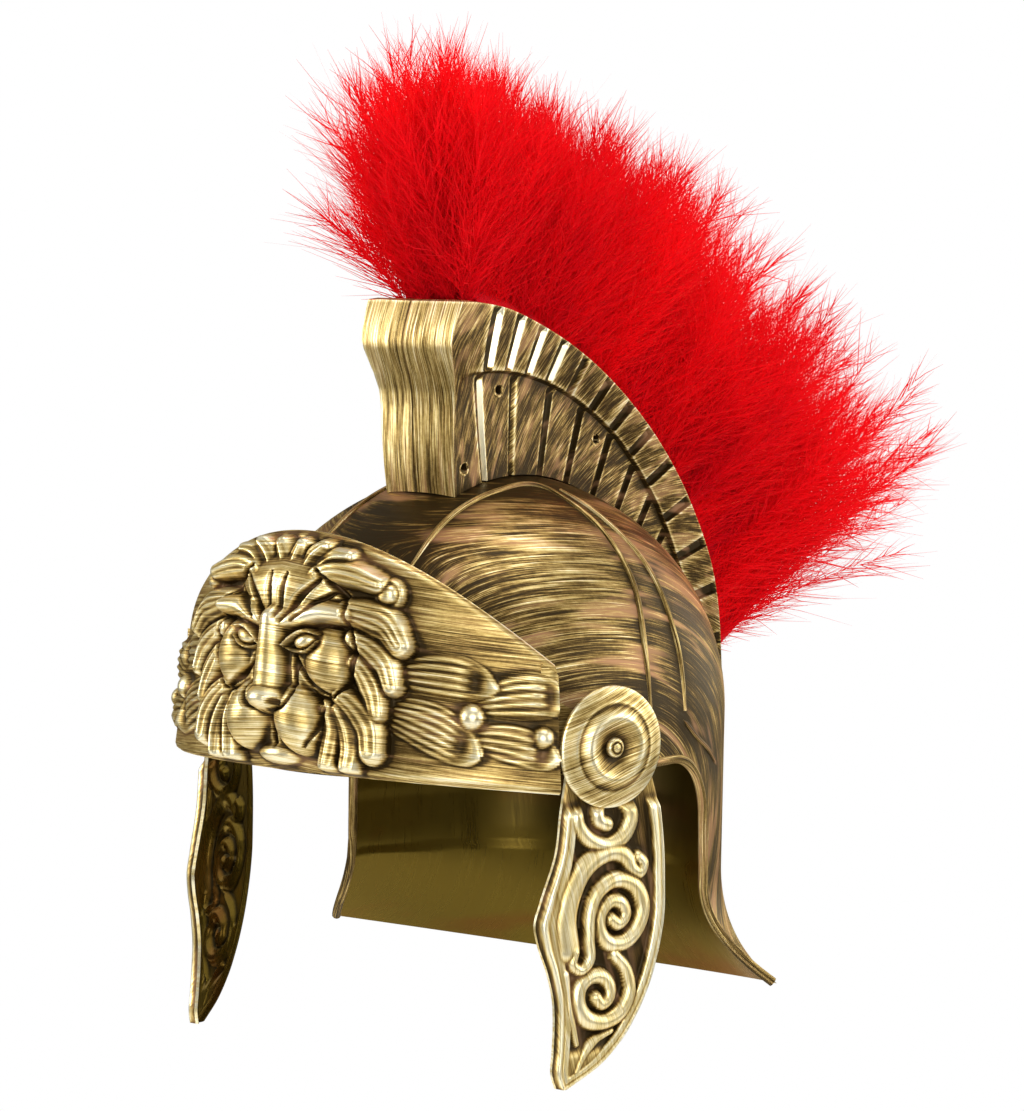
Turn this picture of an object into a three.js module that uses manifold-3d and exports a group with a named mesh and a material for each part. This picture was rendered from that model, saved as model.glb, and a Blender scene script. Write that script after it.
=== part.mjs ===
// Centurion helmet: moulded dome, lion visor, cheek guards, crest box and feather plume.
// Millimetres, +Z up. The face looks along -Y and +X is the wearer's left.
// The pieces are laid out around the pivot line of the cheek guards (Y = 0, Z = 0),
// and the finished group is moved so that the inside of the crown is at the origin.
import * as THREE from 'three';
import { mergeVertices } from 'three/addons/utils/BufferGeometryUtils.js';
import Module from 'manifold-3d';

const wasm = await Module();
wasm.setup();
const { Manifold } = wasm;

// Driving dimensions
const WALL = 2;
const GAP = 0.3;
// Faces that lie this close to one plane are joined
const FLAT = 0.1;
const DOME = { halfWidth: 90, halfLength: 107, height: 93.5, centreY: 38, around: 32, down: 7 };
const NECK = { browZ: -11, waistZ: -62, waistX: 1.015, waistY: 0.945, curl: 2.2 };
const RIM = { radius: 127.5, centreY: 17.5, cornerY: 82, cornerZ: -101.4, slope: -0.246 };
const ARCH = { rearY: 66, corner: 26, turnZ: -66, curveZ: -84, bead: 1.9, rib: 1.6 };
const VISOR = { radius: 114.5, slope: 0.137, top: 78.5, fall: 1.27, bottom: -8.6, droop: 6, end: 52 };
const EAR = { low: 4, high: 30 };
const PIVOT = { y: -3, toeIn: 18, boss: 6, bossRadius: 9, hole: 2.9, pin: 2.5, head: 3.7, foot: 5 };
const GUARD = { splay: 3, reach: 124, top: 18, border: 2.2, scroll: 1.9 };
const ROSETTE = { radius: 22.5, hub: 7, rim: 1.3 };
const CREST = { units: 24, groove: 1.5, grooveHalf: 0.16, ridge: 2.6, upperEvery: 2, lowerEvery: 3 };
const PLUME = { columns: 8, halfStrip: 18.3, halfBody: 16, sunk: 8, lean: 13, sides: 5 };

// Stack on each pivot, out from the dome: boss, visor ear, cheek guard, rosette and stud
const earSeat = PIVOT.boss + GAP;
const guardSeat = earSeat + WALL + GAP;
const rosetteSeat = guardSeat + WALL + GAP;
const studSeat = rosetteSeat + 3.6;

// Colours
const GOLD = { color: 0xa88a4e, roughness: 0.38, metalness: 0.75 };
const PALE_GOLD = { color: 0xc2ab74, roughness: 0.35, metalness: 0.75 };
const RED = { color: 0xb01414, roughness: 0.9, metalness: 0 };

// Short tables, one named column after another
function table(names, rows) {
  return rows.map((row) => Object.fromEntries(names.map((name, i) => [name, row[i]])));
}

// Raised forms of the lion mask: arc length from the middle, height, half sizes, tilt, apex height.
// A row off the middle has its twin on the other side.
const LION = table(['s', 'z', 'long', 'wide', 'tilt', 'high'], [
  [0, 34, 37, 27, 90, 11],
  [0, 57, 21, 12, 0, 13.5],
  [12, 51, 11, 5, 12, 15.5],
  [14, 40, 5, 4, -8, 14],
  [0, 33, 18, 6.5, 90, 17],
  [0, 18, 8.5, 6.5, 0, 18.5],
  [21.5, 33, 13.5, 9.5, 100, 17],
  [11, 10, 13.5, 10.5, 105, 17],
  [0, -2, 9, 4.5, 0, 8],
  [4, 70, 6.5, 4.2, 80, 9.5],
  [12.5, 69, 7, 4.6, 60, 10],
  [25, 63, 14, 6.5, -18, 12],
  [41.5, 56, 6.5, 6.5, 0, 10],
  [39, 44.5, 12.5, 9, -15, 12.5],
  [38, 27.5, 12.5, 8, -35, 11.5],
  [32, 16, 10, 7.5, -60, 11.5],
  [36, 3.5, 9.5, 6.5, -80, 9.5],
  [25, 2.5, 9, 6, -85, 10],
]);

// Leaves and berries beside the mask, in the same columns
const LEAVES = table(['s', 'z', 'long', 'wide', 'tilt', 'high'], [
  [62, 26, 18, 7.5, -9, 5],
  [57, 9, 17.5, 7.5, -28, 5],
  [90, 17, 14, 8, 0, 5],
  [86.5, 3.5, 14, 6.2, -20, 4.5],
  [72, 13.6, 5.5, 5.5, 0, 6.5],
  [96, 5.7, 4.7, 4.7, 0, 5.5],
]);

// Bent tab from the end of the visor's plate to its ear, ahead of the pivot: forward, low and high edge
const TAB = table(['forward', 'low', 'high'], [
  [22.9, 0, 21],
  [10, -7, 13],
  [0, -11.5, 11.5],
  [-8, -8.2, 8.2],
  [-11.2, -2.5, 2.5],
]);

// Cheek guard edges below the pivot: drop, front edge, rear edge
const GUARD_EDGE = table(['drop', 'front', 'rear'], [
  [-6, 17, -17.5],
  [8, 17.8, -19.5],
  [23, 20.3, -23.6],
  [38, 22.6, -25.4],
  [55, 29.5, -25.7],
  [63, 32.3, -25.5],
  [70, 31.1, -24.4],
  [80.5, 27.3, -21.6],
  [91, 24.8, -17.4],
  [101, 24.6, -11.5],
  [111, 25.4, -3],
  [119, 26.1, 8],
  [124, 24.5, 19],
]);

// Spiral scrolls on a cheek guard: centre, outer and inner radius, start angle and turn in degrees
const SCROLLS = table(['back', 'up', 'outer', 'inner', 'start', 'turn'], [
  [0, -31, 9, 3, 170, 420],
  [3.3, -61.5, 12.5, 2.5, 120, 560],
  [-4, -90, 10, 2.5, 60, 520],
]);

// Ribs on the side of the dome: angle down from the crown, plan angle from +X towards the back
const RIBS = [
  table(['down', 'plan'], [[47.5, -68.6], [32.6, -61.6], [19.8, -37], [17.8, 1], [32.3, 4],
    [51.8, 0.6], [71.5, -5], [84, -6]]),
  table(['down', 'plan'], [[21.5, 14], [31.7, 11.7], [51.4, 10.8], [69.6, 7.5], [86.2, 6]]),
];
const ARCH_RIB = table(['y', 'z'], [[48, 3], [58, -4.5], [70, -11.5], [80.6, -19.1]]);

// Crest box, in polar sizes about the dome's centre: angle back from upright, top and step radius
const CREST_ARC = table(['angle', 'top', 'step'], [
  [-16, 167, 137.5],
  [-5, 158.2, 134],
  [4, 150.3, 130.6],
  [14, 143.6, 127],
  [22, 139.6, 124.5],
  [32, 136.2, 122.4],
  [42, 134.6, 120.3],
  [52, 134.3, 119.4],
  [62, 135, 119],
  [74, 137.4, 121],
  [90, 139.6, 123.4],
]);
// Section of the crest box from its foot to its top: share of the lower row, share of the upper row,
// half width, how far the front stands forward, and which row's grooves cut it
const CREST_SECTION = table(['lower', 'upper', 'half', 'front', 'row'], [
  [0, 0, 16.4, -1.3, 'lower'],
  [0.5, 0, 17.2, -0.6, 'lower'],
  [0.97, 0, 18, 0, 'lower'],
  [1, 0, 20, 4, 'upper'],
  [1, 0.42, 21.4, 7.6, 'upper'],
  [1, 0.8, 22.4, 5.2, 'upper'],
  [1, 1, 22.8, 2.4, 'upper'],
]);
// Where the lines across the crest box start and end: foot, step and top, degrees back from upright
const CREST_SPAN = { front: { foot: -23.4, step: -15.6, top: -12.9 }, rear: 90 };
// Screw holes in the left half: angle back from upright and radius about the dome's centre
const SCREWS = table(['angle', 'radius'], [[-4.8, 126.4], [-17.6, 101.9], [27.2, 116.4]]);
const SCREW_HOLE = 1.7;

// Plume: share of the way along the crest, direction up from +Y, length beyond the crest,
// width of a lock and thickness of the body
const PLUME_FAN = table(['share', 'lift', 'length', 'wide', 'thick'], [
  [0, 97, 114, 16, 0.8],
  [0.12, 90, 113, 17, 0.9],
  [0.26, 81, 114, 18, 1.05],
  [0.4, 71, 119, 19, 1.2],
  [0.55, 60, 125, 19, 1.35],
  [0.7, 50, 132, 19, 1.45],
  [0.84, 42, 149, 19, 1.5],
  [1, 32, 172, 18, 1.45],
]);

// Section of the plume's body: share of its length (below 0 in the channel) and share of its half width
const PLUME_SECTION = table(['along', 'half'], [
  [-1, 1],
  [-0.5, 1],
  [0, 1],
  [0.15, 1.7],
  [0.5, 2.1],
  [0.85, 1.9],
  [1, 0.9],
]);

const rad = THREE.MathUtils.degToRad;
const lerp = THREE.MathUtils.lerp;
const smooth = (x, low, high) => THREE.MathUtils.smoothstep(x, low, high);

// A smooth curve through one column of a table against another
function column(rows, across, up) {
  const stops = rows.map((row) => row[across]);
  const values = rows.map((row) => row[up]);
  const spline = new THREE.CubicInterpolant(stops, values, 1);
  return (x) => spline.evaluate(THREE.MathUtils.clamp(x, stops[0], stops.at(-1)))[0];
}

// Closed geometry to a solid, turned the right way out
function solid(geometry) {
  geometry.deleteAttribute('normal');
  geometry.deleteAttribute('uv');
  const welded = mergeVertices(geometry, 1e-4);
  const position = welded.attributes.position;
  const corners = [];
  for (let i = 0; i < welded.index.count; i += 3) {
    const [a, b, c] = [0, 1, 2].map((k) => welded.index.getX(i + k));
    if (a !== b && b !== c && c !== a) corners.push([a, b, c]);
  }
  const at = (i) => new THREE.Vector3().fromBufferAttribute(position, i);
  const volume = corners.reduce((sum, [a, b, c]) => sum + at(a).dot(at(b).cross(at(c))), 0);
  const turned = volume < 0 ? corners.map(([a, b, c]) => [a, c, b]) : corners;
  const mesh = new wasm.Mesh({
    numProp: 3,
    vertProperties: Float32Array.from(position.array),
    triVerts: Uint32Array.from(turned.flat()),
  });
  return new Manifold(mesh);
}

// A solid to a named mesh
function piece(name, body, finish) {
  const { vertProperties, triVerts } = body.getMesh();
  const geometry = new THREE.BufferGeometry();
  geometry.setAttribute('position', new THREE.BufferAttribute(Float32Array.from(vertProperties), 3));
  geometry.setIndex(new THREE.BufferAttribute(Uint32Array.from(triVerts), 1));
  geometry.computeVertexNormals();
  const mesh = new THREE.Mesh(geometry, new THREE.MeshStandardMaterial(finish));
  mesh.name = name;
  return mesh;
}

// A closed shell between an outer grid and an inner grid of half as many cells each way
function gridShell(across, along, outer, inner) {
  const points = [];
  const faces = [];
  const grid = (columns, rows, place) => {
    const start = points.length;
    for (let j = 0; j <= rows; j += 1) {
      for (let i = 0; i <= columns; i += 1) points.push(place(i / columns, j / rows));
    }
    return (i, j) => start + j * (columns + 1) + i;
  };
  const out = grid(across, along, outer);
  const inn = grid(across / 2, along / 2, inner);
  const quads = (columns, rows, id, flip) => {
    for (let j = 0; j < rows; j += 1) {
      for (let i = 0; i < columns; i += 1) {
        const [a, b, c, d] = [id(i, j), id(i + 1, j), id(i + 1, j + 1), id(i, j + 1)];
        if (flip) faces.push([a, c, b], [a, d, c]);
        else faces.push([a, b, c], [a, c, d]);
      }
    }
  };
  quads(across, along, out, false);
  quads(across / 2, along / 2, inn, true);
  // One coarse inner edge faces two outer edges
  const rim = (a, middle, b, innerA, innerB) => {
    faces.push([middle, a, innerA], [b, middle, innerB], [middle, innerA, innerB]);
  };
  for (let i = 0; i < across / 2; i += 1) {
    rim(out(2 * i, 0), out(2 * i + 1, 0), out(2 * i + 2, 0), inn(i, 0), inn(i + 1, 0));
    const [a, m, b] = [2 * i + 2, 2 * i + 1, 2 * i].map((k) => out(k, along));
    rim(a, m, b, inn(i + 1, along / 2), inn(i, along / 2));
  }
  for (let j = 0; j < along / 2; j += 1) {
    const [a, m, b] = [2 * j + 2, 2 * j + 1, 2 * j].map((k) => out(0, k));
    rim(a, m, b, inn(0, j + 1), inn(0, j));
    const [d, n, e] = [2 * j, 2 * j + 1, 2 * j + 2].map((k) => out(across, k));
    rim(d, n, e, inn(across / 2, j), inn(across / 2, j + 1));
  }
  const geometry = new THREE.BufferGeometry().setFromPoints(points);
  geometry.setIndex(faces.flat());
  return solid(geometry);
}

// A solid rod of few sides along a curve
function rod(points, radius, sides, steps) {
  const section = new THREE.Shape();
  for (let i = 0; i < sides; i += 1) {
    const angle = (2 * Math.PI * i) / sides;
    const corner = [radius * Math.cos(angle), radius * Math.sin(angle)];
    if (i === 0) section.moveTo(...corner);
    else section.lineTo(...corner);
  }
  section.closePath();
  const extrudePath = new THREE.CatmullRomCurve3(points);
  return solid(new THREE.ExtrudeGeometry(section, { steps, extrudePath }));
}

// A turned solid about Z from a profile of radius and height
function turned(profile, sides) {
  const points = profile.map(([radius, height]) => new THREE.Vector2(radius, height));
  return solid(new THREE.LatheGeometry(points, sides).rotateX(Math.PI / 2));
}

function pinHole(radius, low, high, sides = 16) {
  return turned([[0, low], [radius, low], [radius, high], [0, high]], sides);
}

const joinAll = (bodies) => bodies.reduce((whole, body) => whole.add(body));
const mirrored = (body) => body.mirror([1, 0, 0]);

// Lower edge of the neck guard, a plane that falls towards the back
const rimZ = (y) => RIM.cornerZ + RIM.slope * (y - RIM.cornerY);

// A point of the dome's wall by plan angle from +X: tilt runs from the crown to the equator in degrees,
// drop from the equator (0) to the waist (1) and on down the flare to the rim (2)
function domePoint(plan, { tilt = 90, drop = 0 }, inset = 0) {
  const [c, d] = [Math.cos(plan), Math.sin(plan)];
  const round = Math.sin(rad(tilt));
  const waist = Math.min(1, drop);
  const x = (DOME.halfWidth - inset) * round * c * lerp(1, NECK.waistX, waist);
  const y = DOME.centreY + (DOME.halfLength - inset) * round * d * lerp(1, NECK.waistY, waist);
  const high = (DOME.height - inset) * Math.cos(rad(tilt));
  if (drop <= 1) return new THREE.Vector3(x, y, high + NECK.waistZ * drop);
  // The rim lies where the line out from the dome's axis meets the rim circle
  const out = new THREE.Vector2(x, y - DOME.centreY).normalize();
  const shift = DOME.centreY - RIM.centreY;
  const reach = -out.y * shift + Math.sqrt((out.y * shift) ** 2 + (RIM.radius - inset) ** 2 - shift ** 2);
  const flare = (drop - 1) ** NECK.curl;
  const rimY = DOME.centreY + out.y * reach;
  return new THREE.Vector3(
    lerp(x, out.x * reach, flare),
    lerp(y, rimY, flare),
    lerp(NECK.waistZ, rimZ(rimY), drop - 1),
  );
}

// Outer surface of the dome's left side at a given Y and Z
function domeSide(y, z) {
  const tilt = z > 0 ? THREE.MathUtils.radToDeg(Math.acos(z / DOME.height)) : 90;
  let [low, high] = [-Math.PI / 2, Math.PI / 2];
  let point;
  for (let i = 0; i < 40; i += 1) {
    const plan = (low + high) / 2;
    const above = Math.max(z, NECK.waistZ) / NECK.waistZ;
    const below = (NECK.waistZ - z) / (NECK.waistZ - rimZ(y));
    point = domePoint(plan, { tilt, drop: Math.max(0, above) + Math.max(0, Math.min(1, below)) });
    if (point.y < y) low = plan;
    else high = plan;
  }
  return point;
}

// Lower edge of the dome seen from the side: brow line, ear arch and front of the neck guard
function rimShape() {
  const far = 220;
  const shape = new THREE.Shape();
  shape.moveTo(-far, -far);
  shape.lineTo(-far, NECK.browZ);
  shape.lineTo(ARCH.rearY - ARCH.corner, NECK.browZ);
  shape.absarc(ARCH.rearY - ARCH.corner, NECK.browZ - ARCH.corner, ARCH.corner, Math.PI / 2, 0, true);
  shape.lineTo(ARCH.rearY, ARCH.turnZ);
  shape.quadraticCurveTo(ARCH.rearY + 1, ARCH.curveZ, RIM.cornerY, RIM.cornerZ);
  shape.lineTo(RIM.cornerY, -far);
  return shape;
}

function buildDome() {
  const rows = [];
  for (let i = 0; i <= DOME.down; i += 1) rows.push({ tilt: (90 * i) / DOME.down });
  for (const drop of [0.5, 1, 1.35, 1.62, 1.84, 2]) rows.push({ drop });
  const wall = [...rows.map((row) => [row, 0]), ...rows.reverse().map((row) => [row, WALL])];
  // A lathe gives the closed surface, and each of its points is then set on the dome's wall
  const lathe = new THREE.LatheGeometry(wall.map((_, i) => new THREE.Vector2(1, i)), DOME.around);
  for (let i = 0; i <= DOME.around; i += 1) {
    wall.forEach(([row, inset], j) => {
      const point = domePoint((2 * Math.PI * (i % DOME.around)) / DOME.around, row, inset);
      lathe.attributes.position.setXYZ(i * wall.length + j, point.x, point.y, point.z);
    });
  }
  // The part in front of the neck guard is cut away below the rim
  const width = 400;
  const settings = { depth: width, bevelEnabled: false, curveSegments: 5 };
  const cutter = new THREE.ExtrudeGeometry(rimShape(), settings);
  const [right, back, up] = [[1, 0, 0], [0, 1, 0], [0, 0, 1]].map((axis) => new THREE.Vector3(...axis));
  cutter.applyMatrix4(new THREE.Matrix4().makeBasis(back, up, right)).translate(-width / 2, 0, 0);
  let body = solid(lathe).subtract(solid(cutter));
  // Ribs, arch beads and pivot bosses on both sides
  const ribs = RIBS.map((rib) => rib.map(({ down, plan }) => domePoint(rad(plan), { tilt: down })));
  ribs.push(ARCH_RIB.map(({ y, z }) => domeSide(y, z)));
  const edge = rimShape().getSpacedPoints(100).filter(({ x, y }) => x > 0 && x < RIM.cornerY && y > rimZ(x))
    .filter((_, i) => i % 2 === 0).map(({ x, y }) => domeSide(x, y));
  for (const point of edge) point.x -= WALL / 2;
  const raised = ribs.map((rib) => rod(rib, ARCH.rib, 4, rib.length + 2));
  raised.push(rod(edge, ARCH.bead, 4, 14));
  raised.push(sideways(pinHole(PIVOT.bossRadius, -WALL / 2, PIVOT.boss)));
  for (const extra of raised) body = body.add(extra).add(mirrored(extra));
  const hole = sideways(pinHole(PIVOT.hole, -12, 12));
  return body.subtract(hole).subtract(mirrored(hole)).simplify(FLAT);
}

// Where a side's pieces are stacked: X backward, Y up and Z out along the rivet
const pivotX = domeSide(PIVOT.y, 0).x;
function sideBasis(side) {
  const out = new THREE.Vector3(side * Math.cos(rad(PIVOT.toeIn)), -Math.sin(rad(PIVOT.toeIn)), 0);
  const up = new THREE.Vector3(0, 0, 1);
  const across = up.clone().cross(out);
  return new THREE.Matrix4().makeBasis(across, up, out).setPosition(side * pivotX, PIVOT.y, 0);
}
function sideways(body) {
  return body.transform(sideBasis(1).toArray());
}

// Visor: a conical band about the dome's axis, measured along its front from the middle
function visorPoint(s, z, height) {
  const turn = s / VISOR.radius;
  const lean = Math.atan(VISOR.slope);
  const reach = VISOR.radius - VISOR.slope * z + height * Math.cos(lean);
  return new THREE.Vector3(
    reach * Math.sin(turn),
    DOME.centreY - reach * Math.cos(turn),
    z + height * Math.sin(lean),
  );
}
const visorEnd = VISOR.radius * rad(VISOR.end);

// Lower and upper edges of the visor's plate
function visorEdges(s) {
  const low = VISOR.bottom - VISOR.droop * (s / visorEnd) ** 2;
  return [low, VISOR.top * Math.cos((VISOR.fall * s) / VISOR.radius)];
}

function mound(s, z, row) {
  const tilt = rad(row.tilt);
  const [ds, dz] = [Math.abs(s) - row.s, z - row.z];
  const u = (ds * Math.cos(tilt) + dz * Math.sin(tilt)) / row.long;
  const v = (dz * Math.cos(tilt) - ds * Math.sin(tilt)) / row.wide;
  return row.high * Math.sqrt(Math.max(0, 1 - u * u - v * v));
}
const visorRelief = (s, z) => Math.max(0, ...[...LION, ...LEAVES].map((row) => mound(s, z, row)));
const visorHollow = (s, z) => 0.62 * mound(s * 1.12, 34 + (z - 34) * 1.12, LION[0]);

// Columns stand closer together over the mask than over the leaves
function visorColumn(u) {
  const t = 2 * u - 1;
  const [fine, share, size] = [52, 0.62, Math.abs(t)];
  const along = size <= share ? fine * (size / share) : lerp(fine, visorEnd, (size - share) / (1 - share));
  return Math.sign(t) * along;
}

// The tab runs on from the plate and bends in to a flat ear on the rivet
function visorTab() {
  const middle = (EAR.low + EAR.high) / 2;
  const toSide = sideBasis(1).invert();
  const rows = [visorEnd - 6, visorEnd - 0.5].map((s) => {
    const { x, z } = visorPoint(s, middle, -WALL / 2).applyMatrix4(toSide);
    return { forward: -x, out: z, low: EAR.low, high: EAR.high };
  });
  rows.push(...TAB.map((row) => ({ ...row, out: earSeat + WALL / 2 })));
  const place = (u, v, face) => {
    const i = Math.round(u * (rows.length - 1));
    const [before, row, after] = [rows[Math.max(0, i - 1)], rows[i], rows[Math.min(rows.length - 1, i + 1)]];
    const along = new THREE.Vector2(after.forward - before.forward, after.out - before.out).normalize();
    return new THREE.Vector3(
      -(row.forward + along.y * face * (WALL / 2)),
      lerp(row.low, row.high, v),
      row.out - along.x * face * (WALL / 2),
    );
  };
  return sideways(gridShell(rows.length - 1, 2, (u, v) => place(u, v, 1), (u, v) => place(u, v, -1)));
}

function buildVisor() {
  const place = (u, v, depth) => {
    const s = visorColumn(u);
    const z = lerp(...visorEdges(s), v);
    const fade = smooth(v, 0, 0.03) * smooth(1 - v, 0, 0.03);
    return visorPoint(s, z, depth === 0 ? visorRelief(s, z) * fade : visorHollow(s, z) - depth);
  };
  const plate = gridShell(52, 16, (u, v) => place(u, v, 0), (u, v) => place(u, v, WALL));
  const tab = visorTab();
  const hole = sideways(pinHole(PIVOT.hole, -12, 12));
  return joinAll([plate, tab, mirrored(tab)]).subtract(hole).subtract(mirrored(hole)).simplify(FLAT);
}

// Cheek guard in its side's frame: X backward, Y up, Z out
const guardFront = column(GUARD_EDGE, 'drop', 'front');
const guardRear = column(GUARD_EDGE, 'drop', 'rear');

function guardPoint(u, v, height) {
  const drop = lerp(-GUARD.top, GUARD.reach, v);
  const cap = Math.sqrt(Math.max(0.02, 1 - Math.min(0, drop / GUARD.top) ** 2));
  const forward = lerp(guardFront(drop) * cap, guardRear(drop) * cap, u);
  const bow = GUARD.splay * Math.max(0, drop / GUARD.reach) ** 2;
  return new THREE.Vector3(-forward, -drop, guardSeat + bow + height);
}

function buildGuard() {
  const relief = (u, v) => {
    const drop = lerp(-GUARD.top, GUARD.reach, v);
    const clear = smooth(drop, ROSETTE.radius - 6, ROSETTE.radius + 8);
    const edge = Math.min(u, 1 - u);
    const bevel = smooth(edge, 0, 0.11) * (1 - smooth(edge, 0.13, 0.26));
    const point = smooth(v, 0.86, 0.95);
    return GUARD.border * clear * Math.max(bevel, 0.8 * point * smooth(edge, 0, 0.2));
  };
  const plate = gridShell(10, 20,
    (u, v) => guardPoint(u, v, WALL + relief(u, v)), (u, v) => guardPoint(u, v, 0));
  const scrolls = SCROLLS.map((row) => {
    const points = [];
    const count = 11;
    for (let i = 0; i < count; i += 1) {
      const share = i / (count - 1);
      const angle = rad(row.start + row.turn * share);
      const radius = lerp(row.outer, row.inner, share);
      const [x, y] = [row.back + radius * Math.cos(angle), row.up + radius * Math.sin(angle)];
      const bow = GUARD.splay * (y / GUARD.reach) ** 2;
      points.push(new THREE.Vector3(x, y, guardSeat + WALL + bow));
    }
    return rod(points, GUARD.scroll, 4, 12);
  });
  return joinAll([plate, ...scrolls]).subtract(pinHole(PIVOT.hole, -2, 20)).simplify(FLAT);
}

// Rosette and rivet about the pivot axis, Z out
function buildRosette() {
  const low = rosetteSeat;
  const { radius, hub, rim } = ROSETTE;
  return turned([
    [PIVOT.hole, low], [hub, low], [hub + 2, low + 2.6], [16, low + 2.2], [radius - 1, low + 1],
    [radius, low + 1], [radius, low + 1 + rim], [17, low + 4.2], [15.4, low + 4.3], [11.4, low + 6.4],
    [7.6, low + 5.2], [5, low + 3.4], [PIVOT.hole, low + 3.3], [PIVOT.hole, low],
  ], 15);
}

function buildRivet() {
  const inside = -WALL - 1;
  return turned([
    [0, inside - 2], [PIVOT.foot - 1.5, inside - 2], [PIVOT.foot, inside], [PIVOT.pin, inside],
    [PIVOT.pin, studSeat], [PIVOT.head, studSeat], [PIVOT.head, studSeat + 1.2],
    [PIVOT.head - 1.4, studSeat + 2.2], [0, studSeat + 2.4],
  ], 10);
}

// Crest box: one half shell, from the front seam round the side to the rear seam
const crestTop = column(CREST_ARC, 'angle', 'top');
const crestStep = column(CREST_ARC, 'angle', 'step');

// The box narrows towards its rear end
const crestNarrow = (share) => 1 - 0.12 * smooth(share, 0.75, 1);

function crestColumns() {
  const { units, grooveHalf, upperEvery, lowerEvery } = CREST;
  const stops = [];
  for (let k = 1; k < units; k += 1) {
    const row = { upper: k % upperEvery === 0, lower: k % lowerEvery === 0 };
    if (!row.upper && !row.lower) continue;
    stops.push({ along: k - grooveHalf }, { along: k, ...row }, { along: k + grooveHalf });
  }
  const side = [{ along: 0 }, ...stops, { along: units }];
  const front = [{ along: 0, seam: 0 }, { along: 0, seam: 0.55 }];
  const rear = [{ along: units, seam: 0.5 }, { along: units, seam: 0 }];
  const columns = [...front, ...side, ...rear];
  return columns.map((stop) => ({ seam: 1, ...stop, share: stop.along / units }));
}

function crestPoint(stop, row, depth) {
  const { front, rear } = CREST_SPAN;
  const foot = lerp(front.foot, rear, stop.share);
  const step = lerp(front.step, rear, stop.share);
  const top = lerp(front.top, rear, stop.share);
  const degrees = row.upper > 0 ? lerp(step, top, row.upper) : lerp(foot, step, row.lower);
  const groove = stop[row.row] && depth === 0 ? CREST.groove : 0;
  const half = lerp(GAP / 2, row.half * crestNarrow(stop.share) - groove - depth, stop.seam);
  const bare = Math.hypot(Math.sin(rad(degrees)) / DOME.halfLength, Math.cos(rad(degrees)) / DOME.height);
  const low = Math.sqrt(1 - (half / DOME.halfWidth) ** 2) / bare + 2 * GAP;
  const radius = row.upper > 0
    ? lerp(crestStep(degrees), crestTop(degrees), row.upper)
    : lerp(low, crestStep(degrees), row.lower);
  // The front stands forward with a ridge on the seam, and the end walls are as thick as the side
  const isFront = stop.share === 0 ? 1 : 0;
  const isRear = stop.share === 1 ? 1 : 0;
  const forward = isFront * (row.front + (1 - stop.seam) * CREST.ridge);
  const angle = rad(degrees) + ((isFront - isRear) * depth) / radius;
  return new THREE.Vector3(
    half,
    DOME.centreY + radius * Math.sin(angle) - forward,
    radius * Math.cos(angle),
  );
}

function buildCrestHalf() {
  const columns = crestColumns();
  const rows = CREST_SECTION;
  const pick = (list, share) => list[Math.round(share * (list.length - 1))];
  return gridShell(columns.length - 1, rows.length - 1,
    (u, v) => crestPoint(pick(columns, u), pick(rows, v), 0),
    (u, v) => crestPoint(pick(columns, u), pick(rows, v), WALL + CREST.groove / 3));
}

function screwHoles() {
  return joinAll(SCREWS.map(({ angle, radius }) => {
    const y = DOME.centreY + radius * Math.sin(rad(angle));
    const z = radius * Math.cos(rad(angle));
    const hole = solid(new THREE.CylinderGeometry(SCREW_HOLE, SCREW_HOLE, 30, 8).rotateZ(Math.PI / 2));
    return hole.translate([22, y, z]);
  }));
}

// Plume: a backing strip in the channel of the crest box with three rows of pointed locks
function crestRoot(share, sunk) {
  const degrees = lerp(CREST_SPAN.front.top + 2.5, CREST_SPAN.rear - 2.5, share);
  const radius = crestTop(degrees) - sunk;
  const angle = rad(degrees);
  return new THREE.Vector3(0, DOME.centreY + radius * Math.sin(angle), radius * Math.cos(angle));
}

// The body of the plume: a padded fan from the channel to a share of the locks' length
function plumeBody(to) {
  const stops = PLUME_SECTION;
  const place = (u, v, side) => {
    const share = lerp(0.02, 0.98, u);
    const { along, half } = stops[Math.round(v * (stops.length - 1))];
    const root = crestRoot(share, along < 0 ? PLUME.sunk : 0);
    const lift = rad(fan.lift(share));
    const up = new THREE.Vector3(0, Math.cos(lift), Math.sin(lift));
    if (along > 0) root.addScaledVector(up, along * to * fan.length(share));
    const strip = PLUME.halfStrip * crestNarrow(share);
    root.x = side * (along > 0 ? PLUME.halfBody * half * fan.thick(share) : strip);
    return root;
  };
  return gridShell(12, stops.length - 1, (u, v) => place(u, v, 1), (u, v) => place(u, v, -1));
}

const fan = {};
for (const key of ['lift', 'length', 'wide', 'thick']) fan[key] = column(PLUME_FAN, 'share', key);

function plumeLock(share, side) {
  const [lift, wide] = [fan.lift(share), fan.wide(share)];
  const reach = (fan.length(share) + PLUME.sunk) * (side === 0 ? 1 : 0.97);
  const profile = [[0, 0], [0.3 * wide, 0.1 * reach], [wide, 0.55 * reach], [0.75 * wide, 0.85 * reach],
    [0, reach]];
  const lean = rad(side * PLUME.lean * fan.thick(share));
  const flat = Math.cos(lean);
  const along = new THREE.Vector3(Math.sin(lean), flat * Math.cos(rad(lift)), flat * Math.sin(rad(lift)));
  const turn = new THREE.Quaternion().setFromUnitVectors(new THREE.Vector3(0, 0, 1), along);
  const root = crestRoot(share, PLUME.sunk);
  root.x = side * 4;
  const place = new THREE.Matrix4().compose(root, turn, new THREE.Vector3(1, 1, 1));
  return turned(profile, PLUME.sides).transform(place.toArray());
}

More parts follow.
